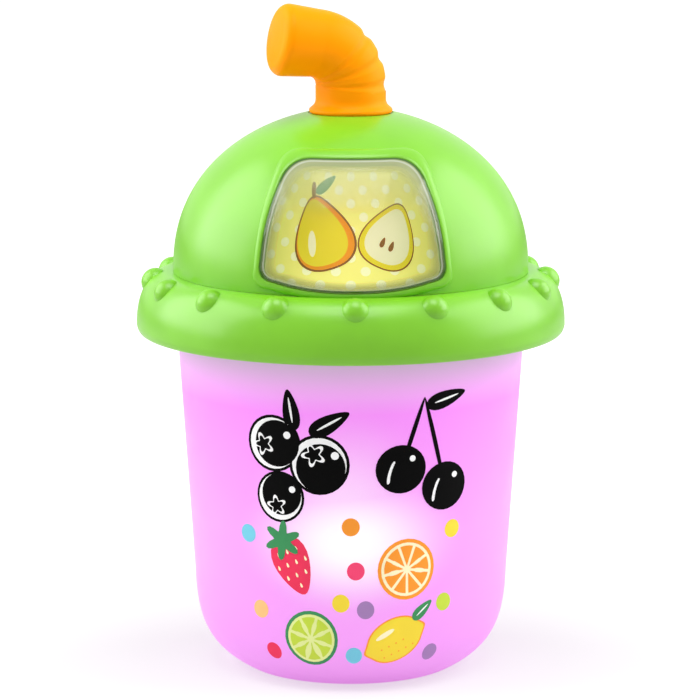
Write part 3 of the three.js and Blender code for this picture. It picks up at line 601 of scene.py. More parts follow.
# Straw: rings that fan round the elbow and run on along the arm
def straw_station(angle, radius, advance=0.0, inward=0.0):
    """Centre, outward direction, radius and groove of one ring in the arm's upright plane."""
    along = Vector((math.sin(angle), 0, math.cos(angle)))
    outward = Vector((-math.cos(angle), 0, math.sin(angle)))
    pivot = Vector((straw_radius + straw_elbow_gap, 0,
                    straw_seat + straw_flange_thickness + straw_upright))
    reach = min(radius, straw_neck_radius) if angle == straw_bend else radius
    centre = pivot + outward * (reach + straw_elbow_gap - inward) + along * advance
    return centre, outward, radius, rib_groove(angle) if advance == 0 else 0.0


def rib_groove(angle):
    """Depth of the soft groove between two ribs of the elbow, on its outer side."""
    groove = 0.0
    for rib in range(straw_rib_count):
        away = abs(angle - rib * straw_rib_pitch) / (straw_rib_pitch * straw_rib_half_share)
        if away < 1:
            groove = 0.5 + 0.5 * math.cos(math.pi * away)
    return groove * straw_rib_depth


def elbow_radius(angle):
    share = min(1, max(0, angle / straw_bend))
    return straw_radius - (straw_radius - straw_neck_radius) * share


def straw_stations():
    foot = straw_seat - clearance / 3
    edge = straw_flange_radius - straw_flare_edge
    outward = Vector((-1, 0, 0))
    flare = curve_points([(edge, foot), (straw_flange_radius, foot),
                          (straw_flange_radius, foot + straw_flare_edge)], flare_edge_steps)
    flare += curve_points([(straw_flange_radius, foot + straw_flare_edge),
                           (straw_flange_radius, foot + 2 * straw_flare_edge),
                           (straw_radius, foot + 2 * straw_flare_edge),
                           (straw_radius, foot + straw_flange_thickness * straw_flare_share)],
                          flare_steps)[1:]
    stations = [(Vector((0, 0, foot)), outward, straw_stem_radius, 0.0)]
    stations += [(Vector((0, 0, height)), outward, radius, 0.0) for radius, height in flare]
    first = -straw_rib_pitch * straw_rib_half_share
    lowest = straw_station(first, straw_radius)[0].z
    for step in range(1, foot_steps):
        height = flare[-1][1] + (lowest - flare[-1][1]) * step / foot_steps
        stations.append((Vector((0, 0, height)), outward, straw_radius, 0.0))
    for step in range(elbow_steps + 1):
        angle = first + (straw_bend - first) * step / elbow_steps
        stations.append(straw_station(angle, elbow_radius(angle)))
    straight = straw_arm_length - straw_end_round
    for step in range(1, arm_steps + 1):
        share = step / arm_steps
        radius = straw_neck_radius + (straw_mouth_radius - straw_neck_radius) * share
        stations.append(straw_station(
            straw_bend, radius, straight * share, straw_mouth_drop * share))
    for step in range(1, end_round_steps + 1):
        angle = quarter_turn * step / end_round_steps
        radius = straw_mouth_radius - straw_end_round * (1 - math.cos(angle))
        advance = straight + straw_end_round * math.sin(angle)
        fill = straw_neck_radius - min(radius, straw_neck_radius)
        stations.append(straw_station(straw_bend, radius, advance, straw_mouth_drop - fill))
    rim = straw_mouth_radius - straw_end_round
    for step in range(1, end_cap_steps + 1):
        share = step / end_cap_steps
        radius = rim * (1 - share)
        advance = straw_arm_length + straw_end_bulge * (1 - (1 - share) ** 2)
        fill = straw_neck_radius - radius
        stations.append(straw_station(straw_bend, radius, advance, straw_mouth_drop - fill))
    return stations


def model_straw():
    stations = straw_stations()
    rows = len(stations) - 1
    turn = Vector((math.cos(straw_turn), math.sin(straw_turn)))

    def place(around, along):
        centre, outward, radius, groove = stations[round(along * rows)]
        angle = math.tau * around
        radius -= groove * (0.5 + 0.5 * math.cos(angle)) ** straw_rib_side_power
        point = centre + outward * (radius * math.cos(angle))
        sideways = radius * math.sin(angle)
        return Vector((point.x * turn.x - sideways * turn.y,
                       point.x * turn.y + sideways * turn.x, point.z))

    straw = draped_grid("straw", straw_sides, rows, place)
    open_to_edit(straw, "DESELECT")
    bpy.ops.mesh.select_non_manifold()
    bpy.ops.mesh.extrude_region_move(
        TRANSFORM_OT_translate={"value": (0, 0, drum_high.z - straw_seat)})
    bpy.ops.mesh.edge_face_add()
    bpy.ops.object.mode_set(mode="OBJECT")
    tidy_mesh(straw)
    smooth(straw, soft_crease_angle)
    return straw


# Printed band round the drum, and places on it
def band_radius(height):
    share = (height - drum_low.z) / (drum_high.z - drum_low.z)
    return drum_bottom_radius + (drum_top_radius - drum_bottom_radius) * share + clearance


def model_band():
    low, high = band_low.z, band_high.z
    section = [(band_radius(low), low), (band_radius(low) + band_thickness, low),
               (band_radius(high) + band_thickness, high), (band_radius(high), high)]
    band = spun("printed_band", section)
    smooth(band)
    return band


def on_band(around, height, lift):
    """A point on the band: distance round from the front at mid height, and height."""
    radius = band_radius(height) + band_thickness + lift
    middle = band_radius((band_low.z + band_high.z) / 2)
    angle = around / middle - quarter_turn
    return Vector((radius * math.cos(angle), radius * math.sin(angle), height))


# Printed shapes: flat outlines laid on a curved surface, each a little above the last layer
print_layer = 0.05 * mm
print_thick_share = 0.6
print_join_share = 0.01


def print_patch(surface, outline, centre, turn=0.0, layer=1, rings=5):
    """One printed shape from its outline (points round the shape's own middle)."""
    count = len(outline)
    cosine, sine = math.cos(turn), math.sin(turn)

    def place(around, outward):
        x, y = outline[round(around * count) % count]
        x, y = x * outward, y * outward
        return surface(centre[0] + x * cosine - y * sine, centre[1] + x * sine + y * cosine,
                       layer * print_layer)

    return draped_grid("print", count, rings, place)


def join_prints(name, patches):
    clear_selection()
    for patch in patches:
        patch.select_set(True)
    bpy.context.view_layer.objects.active = patches[0]
    bpy.ops.object.join()
    whole = patches[0]
    whole.name = name
    apply_modifier(whole, "SOLIDIFY", thickness=print_layer * print_thick_share, offset=-1)
    tidy_mesh(whole, distance=print_layer * print_join_share)
    return whole


def angles_round(steps, first=0.0):
    return [first + math.tau * step / steps for step in range(steps)]


def round_outline(width, height=None, steps=28):
    height = height or width
    return [(width / 2 * math.cos(angle), height / 2 * math.sin(angle))
            for angle in angles_round(steps)]


def waved_outline(width, waves, depth, steps=48):
    """A round outline whose edge goes in and out, for leaves, crowns and stars."""
    points = []
    for angle in angles_round(steps):
        radius = width / 2 * (1 - depth * (0.5 - 0.5 * math.cos(waves * angle)))
        points.append((radius * math.cos(angle), radius * math.sin(angle)))
    return points


sector_middle_share = 0.55
drop_point_share = 0.55


def sector_outline(radius, half_angle, inner=0.0, steps=10):
    """One segment of a cut fruit that points along +X, about its own middle."""
    points = [(inner, 0)]
    for step in range(steps + 1):
        angle = -half_angle + 2 * half_angle * step / steps
        points.append((radius * math.cos(angle), radius * math.sin(angle)))
    middle = (inner + radius) * sector_middle_share
    return [(x - middle, y) for x, y in points], middle


def drop_outline(length, width, steps=24):
    """A pip or leaf: round at one end and pointed at the other, along +Y."""
    points = []
    for angle in angles_round(steps):
        share = 0.5 + 0.5 * math.sin(angle)
        points.append((width / 2 * math.cos(angle) * (1 - share * drop_point_share),
                       length / 2 * math.sin(angle)))
    return points


pear_neck_share = 0.6
pear_girth_share = 1.2
pear_roundness = 0.8
pear_neck_power = 1.5


def pear_outline(height, width, steps=48):
    """A round foot that draws in to a slim neck."""
    points = []
    for angle in angles_round(steps, -quarter_turn):
        upward = (1 + math.sin(angle)) / 2
        narrow = pear_neck_share * upward ** pear_neck_power
        across = math.copysign(abs(math.cos(angle)) ** pear_roundness, math.cos(angle))
        points.append((pear_girth_share * width / 2 * across * (1 - narrow),
                       height / 2 * math.sin(angle)))
    return points


# Material helpers
noise_detail = 3.0
cloud_shares = (0.3, 0.7)
grain_scale = 2500.0
grain_depth = 0.02 * mm


def colour(red, green, blue):
    """A colour as seen on a screen, 0 to 255, as the linear colour the renderer uses."""
    def linear(value):
        value = value / 255
        return value / 12.92 if value <= 0.04045 else ((value + 0.055) / 1.055) ** 2.4
    return (linear(red), linear(green), linear(blue), 1.0)


class Shader:
    """The nodes and links of a material, a group or the world, with short ways to add to them."""

    def __init__(self, tree):
        self.nodes = tree.nodes
        self.links = tree.links

    def add(self, kind, **settings):
        node = self.nodes.new("ShaderNode" + kind)
        for name, value in settings.items():
            setattr(node, name, value)
        return node

    def feed(self, socket, value):
        """Set a socket to a plain value, or link it to the socket that gives its value."""
        if isinstance(value, bpy.types.NodeSocket):
            self.links.new(value, socket)
        else:
            socket.default_value = value

    def fill(self, sockets, values):
        for name, value in values.items():
            self.feed(sockets[name], value)

    def mapped(self, source, low, high, to_low, to_high, smoothly=True):
        node = self.add("MapRange", interpolation_type="SMOOTHSTEP" if smoothly else "LINEAR")
        self.fill(node.inputs, {"Value": source, "From Min": low, "From Max": high,
                                "To Min": to_low, "To Max": to_high})
        return node.outputs["Result"]

    def mixed(self, factor, first, second):
        node = self.add("Mix", data_type="RGBA")
        self.fill(node.inputs, {"Factor": factor, "A": first, "B": second})
        return node.outputs["Result"]

    def sum(self, operation, *values, clamp=False):
        """The result of a Math node."""
        node = self.add("Math", operation=operation, use_clamp=clamp)
        for socket, value in zip(node.inputs, values):
            self.feed(socket, value)
        return node.outputs[0]

    def place(self, kind="Object"):
        return self.add("TexCoord").outputs[kind]

    def axes(self, kind="Object"):
        """The X, Y and Z of every point of a surface, in Object or UV coordinates."""
        node = self.add("SeparateXYZ")
        self.feed(node.inputs[0], self.place(kind))
        return node.outputs

    def noise(self, scale):
        node = self.add("TexNoise")
        self.fill(node.inputs, {"Vector": self.place(), "Scale": scale, "Detail": noise_detail})
        return node.outputs["Fac"]

    def cloud(self, scale, low, high):
        """A soft cloudy pattern whose value goes from low to high."""
        return self.mapped(self.noise(scale), *cloud_shares, low, high)

    def shaded(self, base, brightness):
        node = self.add("HueSaturation")
        self.fill(node.inputs, {"Value": brightness, "Color": base})
        return node.outputs["Color"]

    def away(self, centre, reach):
        """How far a point is from a centre, as a share of the reach along each axis."""
        result = self.place()
        for operation, value in (("SUBTRACT", centre), ("DIVIDE", reach)):
            node = self.add("VectorMath", operation=operation)
            self.feed(node.inputs[0], result)
            node.inputs[1].default_value = value
            result = node.outputs[0]
        node = self.add("VectorMath", operation="LENGTH")
        self.feed(node.inputs[0], result)
        return node.outputs["Value"]


def new_material(name):
    material = bpy.data.materials.new(name)
    material.use_nodes = True
    shader = Shader(material.node_tree)
    return material, shader, shader.nodes["Principled BSDF"].inputs


def build_moulded_group():
    """Moulded plastic: a fine grain in the surface, faint cloudiness in gloss and colour."""
    group = bpy.data.node_groups.new("moulded surface", "ShaderNodeTree")
    for label, kind, value in (("Colour", "Color", white), ("Roughness", "Float", 0.4),
                               ("Grain", "Float", 0.1)):
        socket = group.interface.new_socket(label, in_out="INPUT",
                                            socket_type="NodeSocket" + kind)
        socket.default_value = value
    for label, kind in (("Colour", "Color"), ("Roughness", "Float"), ("Normal", "Vector")):
        group.interface.new_socket(label, in_out="OUTPUT", socket_type="NodeSocket" + kind)
    shader = Shader(group)
    entry = shader.nodes.new("NodeGroupInput").outputs
    result = shader.nodes.new("NodeGroupOutput").inputs
    bump = shader.add("Bump")
    shader.fill(bump.inputs, {"Distance": grain_depth, "Height": shader.noise(grain_scale),
                              "Strength": entry["Grain"]})
    shader.fill(result, {
        "Colour": shader.shaded(entry["Colour"], shader.cloud(60.0, 0.97, 1.03)),
        "Roughness": shader.sum("MULTIPLY", shader.cloud(60.0, 0.9, 1.1), entry["Roughness"]),
        "Normal": bump.outputs["Normal"]})
    return group


moulded_group = build_moulded_group()


def moulded(name, base, roughness=0.4, grain=0.15, metallic=0.0, glow=0.0, coat=0.0, gleam=0.5):
    """A solid material with the moulded surface. Glow is painted light of its own colour, which
    lifts its shade.
    """
    material, shader, surface = new_material(name)
    finish = shader.nodes.new("ShaderNodeGroup")
    finish.node_tree = moulded_group
    shader.fill(finish.inputs, {"Colour": base, "Roughness": roughness, "Grain": grain})
    shader.fill(surface, {
        "Base Color": finish.outputs["Colour"], "Roughness": finish.outputs["Roughness"],
        "Normal": finish.outputs["Normal"], "Metallic": metallic, "Coat Weight": coat,
        "Specular IOR Level": gleam})
    if glow:
        shader.fill(surface, {"Emission Color": finish.outputs["Colour"],
                              "Emission Strength": glow})
    return material


# Painted glow for the lamps inside the cup: the pink with its painted glow from the foot to the
# top, and two soft white painted spots of light in front
cup_pink_and_painted_glow_shares = [
    (0.0, colour(230, 150, 233)), (0.14, colour(246, 158, 249)),
    (0.45, colour(250, 162, 251)), (0.7, colour(250, 150, 252)),
    (0.8, colour(250, 144, 254)), (0.87, colour(244, 172, 246)),
    (0.93, colour(234, 194, 238))]
painted_glow_spot_centre = (0, -46 * mm, 45.5 * mm)
painted_glow_spot_reach = (16 * mm, 45 * mm, 11 * mm)
painted_glow_tail_centre = (-2 * mm, -46 * mm, 53 * mm)
painted_glow_tail_reach = (16 * mm, 45 * mm, 19 * mm)


def lit_cup_material():
    """Translucent pink plastic whose inner lamps are painted as glow: brightest low at the front,
    pale on top, with painted shade under the brim.
    """
    material, shader, surface = new_material("lit cup")
    height = shader.mapped(shader.axes()["Z"], 0, cup_bead_bottom, 0, 1, smoothly=False)
    ramp = shader.add("ValToRGB")
    ramp.color_ramp.interpolation = "LINEAR"
    first, last = ramp.color_ramp.elements
    first.color = cup_pink_and_painted_glow_shares[0][1]
    last.position, last.color = cup_pink_and_painted_glow_shares[-1]
    for position, shade in cup_pink_and_painted_glow_shares[1:-1]:
        ramp.color_ramp.elements.new(position).color = shade
    shader.feed(ramp.inputs["Fac"], height)
    # A painted bright spot of light low at the front, with a painted tail reaching up
    spot = shader.mapped(shader.away(painted_glow_spot_centre, painted_glow_spot_reach), 0.1, 2.1, 0.96, 0)
    painted_glow_tail = shader.mapped(shader.away(painted_glow_tail_centre, painted_glow_tail_reach), 0, 1.8, 0.5, 0)
    glow = shader.sum("MAXIMUM", spot, painted_glow_tail)
    body = shader.mixed(glow, ramp.outputs["Color"], white)
    # The glow's strength, lower towards the top as painted shade under the brim
    painted_glow_strength = shader.sum("MULTIPLY", shader.mapped(glow, 0, 1, 0.66, 0.72),
                       shader.mapped(height, 0.84, 0.97, 1, 0.62))
    shader.fill(surface, {
        "Base Color": shader.shaded(body, 0.36), "Emission Color": body,
        "Emission Strength": painted_glow_strength, "Roughness": shader.cloud(80.0, 0.42, 0.52)})
    return material


# How much clear plastic bends light: its index of refraction
clear_bending = 1.49


def clear_material(name, tint, facing_alpha, edge_alpha):
    """Clear plastic: see-through where it faces the eye and denser towards its edges."""
    material, shader, surface = new_material(name)
    weight = shader.add("LayerWeight")
    weight.inputs["Blend"].default_value = 0.35
    shader.fill(surface, {
        "Base Color": tint, "IOR": clear_bending,
        "Alpha": shader.mapped(weight.outputs["Facing"], 0, 0.9, facing_alpha, edge_alpha),
        "Roughness": shader.cloud(40.0, 0.03, 0.07)})
    return material


# Heights of the painted pale reflection on the upper pane, as shares of the window's top
painted_reflection_shares = (0.45, 0.95)
painted_reflection_low, painted_reflection_high = (dome_seat + share * window_top for share in painted_reflection_shares)


def pane_material():
    """The clear pane: see-through, darker towards its edge with painted shade and a dark green
    painted shade at the edge, a thin painted highlight line inside it, and a painted pale
    reflection higher up.
    """
    material, shader, surface = new_material("clear pane")
    outward = shader.axes("UV")["Y"]
    # Painted shade: the pane grows denser and darker olive towards its edge
    painted_edge_shade = shader.mapped(outward, 0.8, 0.97, 0.03, 0.46)
    # A dark green painted shade right at the edge, and a thin painted highlight line inside it
    edge = shader.mapped(outward, 0.972, 0.986, 0, 1)
    painted_highlight_line = shader.sum("MULTIPLY", shader.mapped(outward, 0.946, 0.956, 0, 1),
                      shader.mapped(outward, 0.964, 0.973, 1, 0))
    # A painted pale reflection over the upper part of the pane
    painted_reflection = shader.mapped(shader.axes()["Z"], painted_reflection_low, painted_reflection_high, 0, 1)
    tint = shader.mixed(painted_reflection, colour(128, 134, 90), colour(182, 188, 140))
    tint = shader.mixed(painted_highlight_line, tint, colour(212, 220, 196))
    tint = shader.mixed(edge, tint, colour(58, 96, 34))
    dense = shader.sum("ADD", painted_edge_shade, shader.mapped(edge, 0, 1, 0, 0.45), clamp=True)
    dense = shader.sum("ADD", dense, shader.mapped(painted_reflection, 0, 1, 0, 0.22), clamp=True)
    shader.fill(surface, {"Base Color": tint, "Alpha": dense, "IOR": clear_bending,
                          "Roughness": shader.cloud(40.0, 0.03, 0.07)})
    return material


panel_count = 4
panel_colours = (colour(248, 234, 128), colour(240, 150, 150), colour(190, 222, 130),
                 colour(206, 176, 224))
dot_spacing = 5.2 * mm
dot_shares = (0.221, 0.26)
dot_colour = colour(250, 246, 214)
dot_slant = 45 * degree


def band_material():
    """Printed film: four coloured panels round the drum, each with rows of pale dots, and a
    painted glow that brightens it in the dome's shade.
    """
    material, shader, surface = new_material("printed band")
    axes = shader.axes()
    angle = shader.sum("ARCTAN2", axes["X"], shader.sum("MULTIPLY", axes["Y"], -1))
    half_panel = math.pi / panel_count
    turned = shader.sum("WRAP", angle, math.tau - half_panel, -half_panel)
    ramp = shader.add("ValToRGB")
    ramp.color_ramp.interpolation = "CONSTANT"
    ramp.color_ramp.elements.remove(ramp.color_ramp.elements[1])
    ramp.color_ramp.elements[0].color = panel_colours[0]
    for number, shade in enumerate(panel_colours[1:], 1):
        ramp.color_ramp.elements.new(number / panel_count).color = shade
    shader.feed(ramp.inputs["Fac"], shader.mapped(turned, -half_panel, math.tau - half_panel,
                                                  0, 1, smoothly=False))
    middle_radius = (drum_bottom_radius + drum_top_radius) / 2
    flat = shader.add("CombineXYZ")
    shader.fill(flat.inputs, {"X": shader.sum("MULTIPLY", angle, middle_radius),
                              "Y": axes["Z"]})
    slanted = shader.add("Mapping")
    slanted.inputs["Rotation"].default_value = (0, 0, dot_slant)
    shader.feed(slanted.inputs["Vector"], flat.outputs[0])
    dots = shader.add("TexVoronoi", voronoi_dimensions="2D")
    shader.fill(dots.inputs, {"Vector": slanted.outputs["Vector"], "Randomness": 0,
                              "Scale": 1 / dot_spacing})
    mask = shader.mapped(dots.outputs["Distance"], dot_shares[0], dot_shares[1], 0.7, 0)
    printed = shader.mixed(mask, ramp.outputs["Color"], dot_colour)
    # The print also glows: painted light that brightens the band in the dome's shade
    shader.fill(surface, {
        "Base Color": printed, "Emission Color": printed, "Emission Strength": 0.52,
        "Roughness": shader.cloud(90.0, 0.45, 0.55)})
    return material


lid_green = moulded("lid green", colour(120, 193, 33), roughness=0.31)
# The straw's glow is painted light that keeps its shaded side a warm, bright orange
straw_orange = moulded("straw orange", colour(254, 148, 1), roughness=0.42, glow=0.15,
                       gleam=0.06)
lit_cup = lit_cup_material()
clear_pane = pane_material()
base_white = moulded("base white", colour(238, 236, 232), roughness=0.55, grain=0.4)
band_base = band_material()

# Finishes for the pieces inside, by the slot each node has in the record
slot_materials = {
    "cup": lit_cup,
    "lid": lid_green,
    "straw": straw_orange,
    "lens": clear_pane,
    "base": base_white,
    "inner_plastic": moulded("inner white", colour(230, 229, 224), roughness=0.5),
    "drum": moulded("drum white", colour(238, 238, 234), roughness=0.5),
    "print": band_base,
    "screw": moulded("zinc plate", colour(190, 190, 194), roughness=0.32, metallic=1.0),
    "cell": moulded("cell sleeve", colour(98, 108, 122), roughness=0.35, coat=0.3),
    "contact": moulded("spring brass", colour(206, 176, 104), roughness=0.35, metallic=1.0),
    "switch_can": moulded("switch can", colour(184, 184, 190), roughness=0.3, metallic=1.0),
    "knob": moulded("knob black", colour(34, 34, 37), roughness=0.5, grain=0.3),
    "board": moulded("board green", colour(38, 98, 62), roughness=0.45, coat=0.3),
    "led": clear_material("lamp clear", colour(240, 246, 255), 0.4, 0.8),
    "lead": moulded("lead red", colour(196, 48, 54), roughness=0.5),
    "chip": moulded("chip black", colour(22, 22, 25), roughness=0.6, grain=0.3),
    "speaker": moulded("speaker cone", colour(44, 44, 47), roughness=0.8, grain=0.6),
}


def finish_frame_nodes():
    for row in frame["record"]["subparts"]:
        node = frame["nodes"][row["node"]]
        node.data.materials.clear()
        node.data.materials.append(slot_materials[row["material_slot"]])
        smooth(node, frame_crease_angle)


# Camera and lamps, as fitted to the photograph. The lens and its sensor are in millimetres
camera_place = (0, -1000 * mm, 269.2 * mm)
camera_pitch = 10.03 * degree
camera_lens = 178.25
camera_sensor = 36
camera_shift_share = -0.75 / 700
lamp_aim = (0, 0, 120 * mm)
lamps = {
    "left_lamp": ((-850 * mm, 80 * mm, 560 * mm), 950 * mm, 10.5),
    "right_lamp": ((850 * mm, 80 * mm, 560 * mm), 950 * mm, 10.5),
    "top_lamp": ((0, -250 * mm, 950 * mm), 600 * mm, 5.5),
}


def add_camera():
    camera = added(bpy.ops.object.camera_add, location=camera_place,
                   rotation=(quarter_turn - camera_pitch, 0, 0))
    camera.data.lens = camera_lens
    camera.data.sensor_width = camera_sensor
    camera.data.shift_x = camera_shift_share
    bpy.context.scene.camera = camera


def add_lamps():
    for name, (place, size, power) in lamps.items():
        lamp = added(bpy.ops.object.light_add, type="AREA", location=place)
        lamp.name = name
        lamp.data.size = size
        lamp.data.energy = power
        aim = Vector(lamp_aim) - Vector(place)
        lamp.rotation_euler = aim.to_track_quat("-Z", "Y").to_euler()


# Floor: a camera ray finds it white, and a little less bright near the cup for its shadow
floor_size = 30000 * mm
shadow_reach = 300 * mm
shadow_shares = (0.2, 0.9)
floor_glow_near = 0.54
floor_glow_far = 0.96
floor_bounce = (0.75, 0.75, 0.75, 1)
floor_seen = (0.36, 0.36, 0.36, 1)


def add_floor():
    floor = added(bpy.ops.mesh.primitive_plane_add, size=floor_size)
    floor.name = "floor"
    material, shader, surface = new_material("floor white")
    camera_ray = shader.add("LightPath").outputs["Is Camera Ray"]
    away = shader.away((0, 0, 0), (shadow_reach, shadow_reach, shadow_reach))
    glow = shader.mapped(away, *shadow_shares, floor_glow_near, floor_glow_far)
    shader.fill(surface, {
        "Roughness": 0.9, "Specular IOR Level": 0.1, "Emission Color": white,
        "Base Color": shader.mixed(camera_ray, floor_bounce, floor_seen),
        "Emission Strength": shader.sum("MULTIPLY", camera_ray, glow)})
    floor.data.materials.append(material)


# How bright the world is where it only lights the cup
world_light = 0.22


def light_world():
    """White where it is seen, mirrored or seen through, and dimmer where it only lights."""
    world = bpy.data.worlds.new("studio")
    bpy.context.scene.world = world
    world.use_nodes = True
    shader = Shader(world.node_tree)
    background = shader.nodes["Background"].inputs
    background["Color"].default_value = white
    rays = shader.add("LightPath").outputs
    seen = shader.sum("MAXIMUM", rays["Is Camera Ray"], rays["Is Transmission Ray"])
    seen = shader.sum("MAXIMUM", seen, rays["Is Glossy Ray"])
    shader.feed(background["Strength"], shader.mapped(seen, 0, 1, world_light, 1))


# Inks of the prints on the cup and on the band, and how much painted glow each print has
ink_colours = {
    "black": colour(3, 3, 3),
    "white": colour(244, 244, 244),
    "leaf": colour(52, 138, 82),
    "red": colour(232, 44, 84),
    "rose": colour(245, 66, 114),
    "orange": colour(246, 150, 40),
    "peach": colour(248, 188, 122),
    "yellow": colour(240, 214, 52),
    "cream": colour(250, 240, 196),
    "lime": colour(190, 214, 60),
    "pale lime": colour(222, 234, 150),
    "teal": colour(112, 198, 220),
    "purple": colour(158, 122, 176),
    "plum": colour(58, 30, 70),
    "brown": colour(142, 92, 44),
}


def make_inks(label, glow):
    """One printed material for each ink, with painted glow. Black doesn't glow and hardly shines.
    """
    inks = {}
    for name, base in ink_colours.items():
        dark = name == "black"
        inks[name] = moulded(label + " " + name, base, roughness=0.5, grain=0.05,
                             glow=0 if dark else glow, gleam=0.05 if dark else 0.3)
    return inks


# Painted glow: the cup's prints glow a little along with the lit cup, the band's more to brighten
# them under the dome
cup_ink_painted_glow = 0.12
band_ink_painted_glow = 0.42
cup_ink = make_inks("cup ink", cup_ink_painted_glow)
band_ink = make_inks("band ink", band_ink_painted_glow)


class PrintSheet:
    """Collects printed shapes by ink on one surface and joins each ink into one piece."""

    def __init__(self, name, surface, body, slot, inks):
        self.name = name
        self.surface = surface
        self.body = body
        self.slot = slot
        self.inks = inks
        self.patches = {}

    def add(self, shade, outline, centre, turn=0.0, layer=1, rings=5):
        place = (centre[0] * mm, centre[1] * mm)
        sized = [(x * mm, y * mm) for x, y in outline]
        patch = print_patch(self.surface, sized, place, turn * degree, layer, rings)
        self.patches.setdefault(shade, []).append(patch)

    def finish(self):
        for shade, patches in self.patches.items():
            name = self.name + "_" + shade.replace(" ", "_")
            piece = join_prints(name, patches)
            dress(piece, self.body, self.slot, self.inks[shade])


def turned_point(centre, x, y, turn):
    """A point x across and y along from a centre, with both turned by an angle in degrees."""
    cosine, sine = math.cos(turn * degree), math.sin(turn * degree)
    return (centre[0] + x * cosine - y * sine, centre[1] + x * sine + y * cosine)


def print_marks(sheet, marks, centre, size, turn):
    """Marks that make up one motif. Their sizes and places are shares of the motif's size."""
    for shade, shape, size_shares, place_shares, spin, layer, rings in marks:
        outline = shape(*(size * share for share in size_shares))
        across, up = (size * share for share in place_shares)
        sheet.add(shade, outline, turned_point(centre, across, up, turn),
                  0 if spin is None else turn + spin, layer, rings)


# How many waves a crown or a cap of leaves has, and how deep they are
crown_shares = (5, 0.5)
inner_crown_shares = (5, 0.45)
cap_shares = (6, 0.55)


def crown_outline(width):
    return waved_outline(width, *crown_shares)


def inner_crown_outline(width):
    return waved_outline(width, *inner_crown_shares)


def cap_outline(width):
    return waved_outline(width, *cap_shares)


lemon_height_share = 0.72
lemon_tip_start_share = 0.4
lemon_tip_spread_share = 0.1
lemon_tip_shares = (0.12, 0.5)


def lemon_outline(length):
    """An oval that is drawn out to a small tip at both ends."""
    longer, thinner = lemon_tip_shares
    points = []
    for x, y in round_outline(length, length * lemon_height_share, 40):
        tip = max(0, abs(x) / length - lemon_tip_start_share) / lemon_tip_spread_share
        points.append((x * (1 + longer * tip), y * (1 - thinner * tip)))
    return points


# Each mark: ink, outline, size shares, place shares, its own turn in degrees or None for a
# circle, layer and number of rings
berry_mark_shares = (
    ("black", round_outline, (1,), (0, 0), None, 1, 5),
    ("white", round_outline, (0.9,), (0, 0), None, 2, 5),
    ("black", round_outline, (0.82,), (0.05, -0.04), None, 3, 5),
    ("white", crown_outline, (0.42,), (-0.16, 0.1), 0, 4, 5),
    ("black", inner_crown_outline, (0.3,), (-0.16, 0.1), 0, 5, 5))
berry_shine_shares = (("white", round_outline, (0.13,), (0.26, 0.16), None, 4, 2),)
cherry_mark_shares = (
    ("black", round_outline, (1, 0.94), (0, 0), 0, 3, 5),
    ("white", round_outline, (0.1, 0.46), (-0.2, -0.06), -16, 4, 3),
    ("black", round_outline, (0.1, 0.46), (-0.14, -0.05), -16, 5, 3),
    ("white", round_outline, (0.12,), (0.22, 0.2), 0, 4, 2))
cherry_stalk_share = 0.09
strawberry_body_shares = (("red", drop_outline, (1, 0.86), (0, 0), 180, 1, 5),)
strawberry_cap_shares = (("leaf", cap_outline, (0.66,), (0, 0.44), 0, 3, 5),)
strawberry_pip_row_shares = ((0.24, 3), (0.04, 4), (-0.16, 3), (-0.34, 1))
strawberry_pip_gap_share = 0.17
strawberry_pip_shares = (0.08, 0.05)
pear_mark_shares = (
    ("brown", pear_outline, (1, 0.8), (0, 0), 0, 1, 5),
    ("orange", pear_outline, (0.95, 0.745), (0, 0), 0, 2, 5),
    ("yellow", pear_outline, (0.88, 0.65), (-0.03, 0.015), 0, 3, 5),
    ("cream", round_outline, (0.1, 0.34), (-0.16, -0.1), -12, 4, 5),
    ("leaf", drop_outline, (0.36, 0.18), (0.22, 0.58), -70, 5, 5))
pear_stem_shares = ((0, 0.46), (0.05, 0.68))
pear_stem_width_share = 0.07
lemon_mark_shares = (
    ("orange", lemon_outline, (1,), (0, 0), 0, 1, 5),
    ("yellow", lemon_outline, (0.94,), (0, 0), 0, 2, 5),
    ("cream", round_outline, (0.34, 0.08), (-0.12, 0.16), 6, 3, 3))
leaf_vein_width_share = 0.1
leaf_vein_length_share = 0.62
wheel_pith_share = 0.88
wheel_flesh_share = 0.39
wheel_hub_share = 0.06
wheel_segment_share = 0.82
lemon_pore_share = 0.025
lemon_pore_gap_share = 0.13
lemon_pore_row_shares = ((-0.2, 5), (-0.05, 4))


def print_berry(sheet, centre, width, turn):
    """A dark berry with a thin white rim, a small crown and a shine."""
    print_marks(sheet, berry_mark_shares, centre, width, turn)
    print_marks(sheet, berry_shine_shares, centre, width, 0)


def print_leaf(sheet, shade, centre, length, width, turn):
    sheet.add(shade, drop_outline(length, width), centre, turn, layer=2)
    vein = round_outline(width * leaf_vein_width_share, length * leaf_vein_length_share)
    sheet.add("white", vein, centre, turn, layer=3, rings=2)


def print_wheel(sheet, centre, width, shades, segments, turn):
    """A round slice of citrus: rind, pith and segments round the middle."""
    rind, pith, flesh = shades
    sheet.add(rind, round_outline(width), centre)
    sheet.add(pith, round_outline(width * wheel_pith_share), centre, layer=2)
    half_angle = math.pi / segments * wheel_segment_share
    outline, middle = sector_outline(width * wheel_flesh_share, half_angle,
                                     width * wheel_hub_share)
    for number in range(segments):
        angle = turn + 360 * number / segments
        sheet.add(flesh, outline, turned_point(centre, middle, 0, angle), angle, layer=3, rings=2)


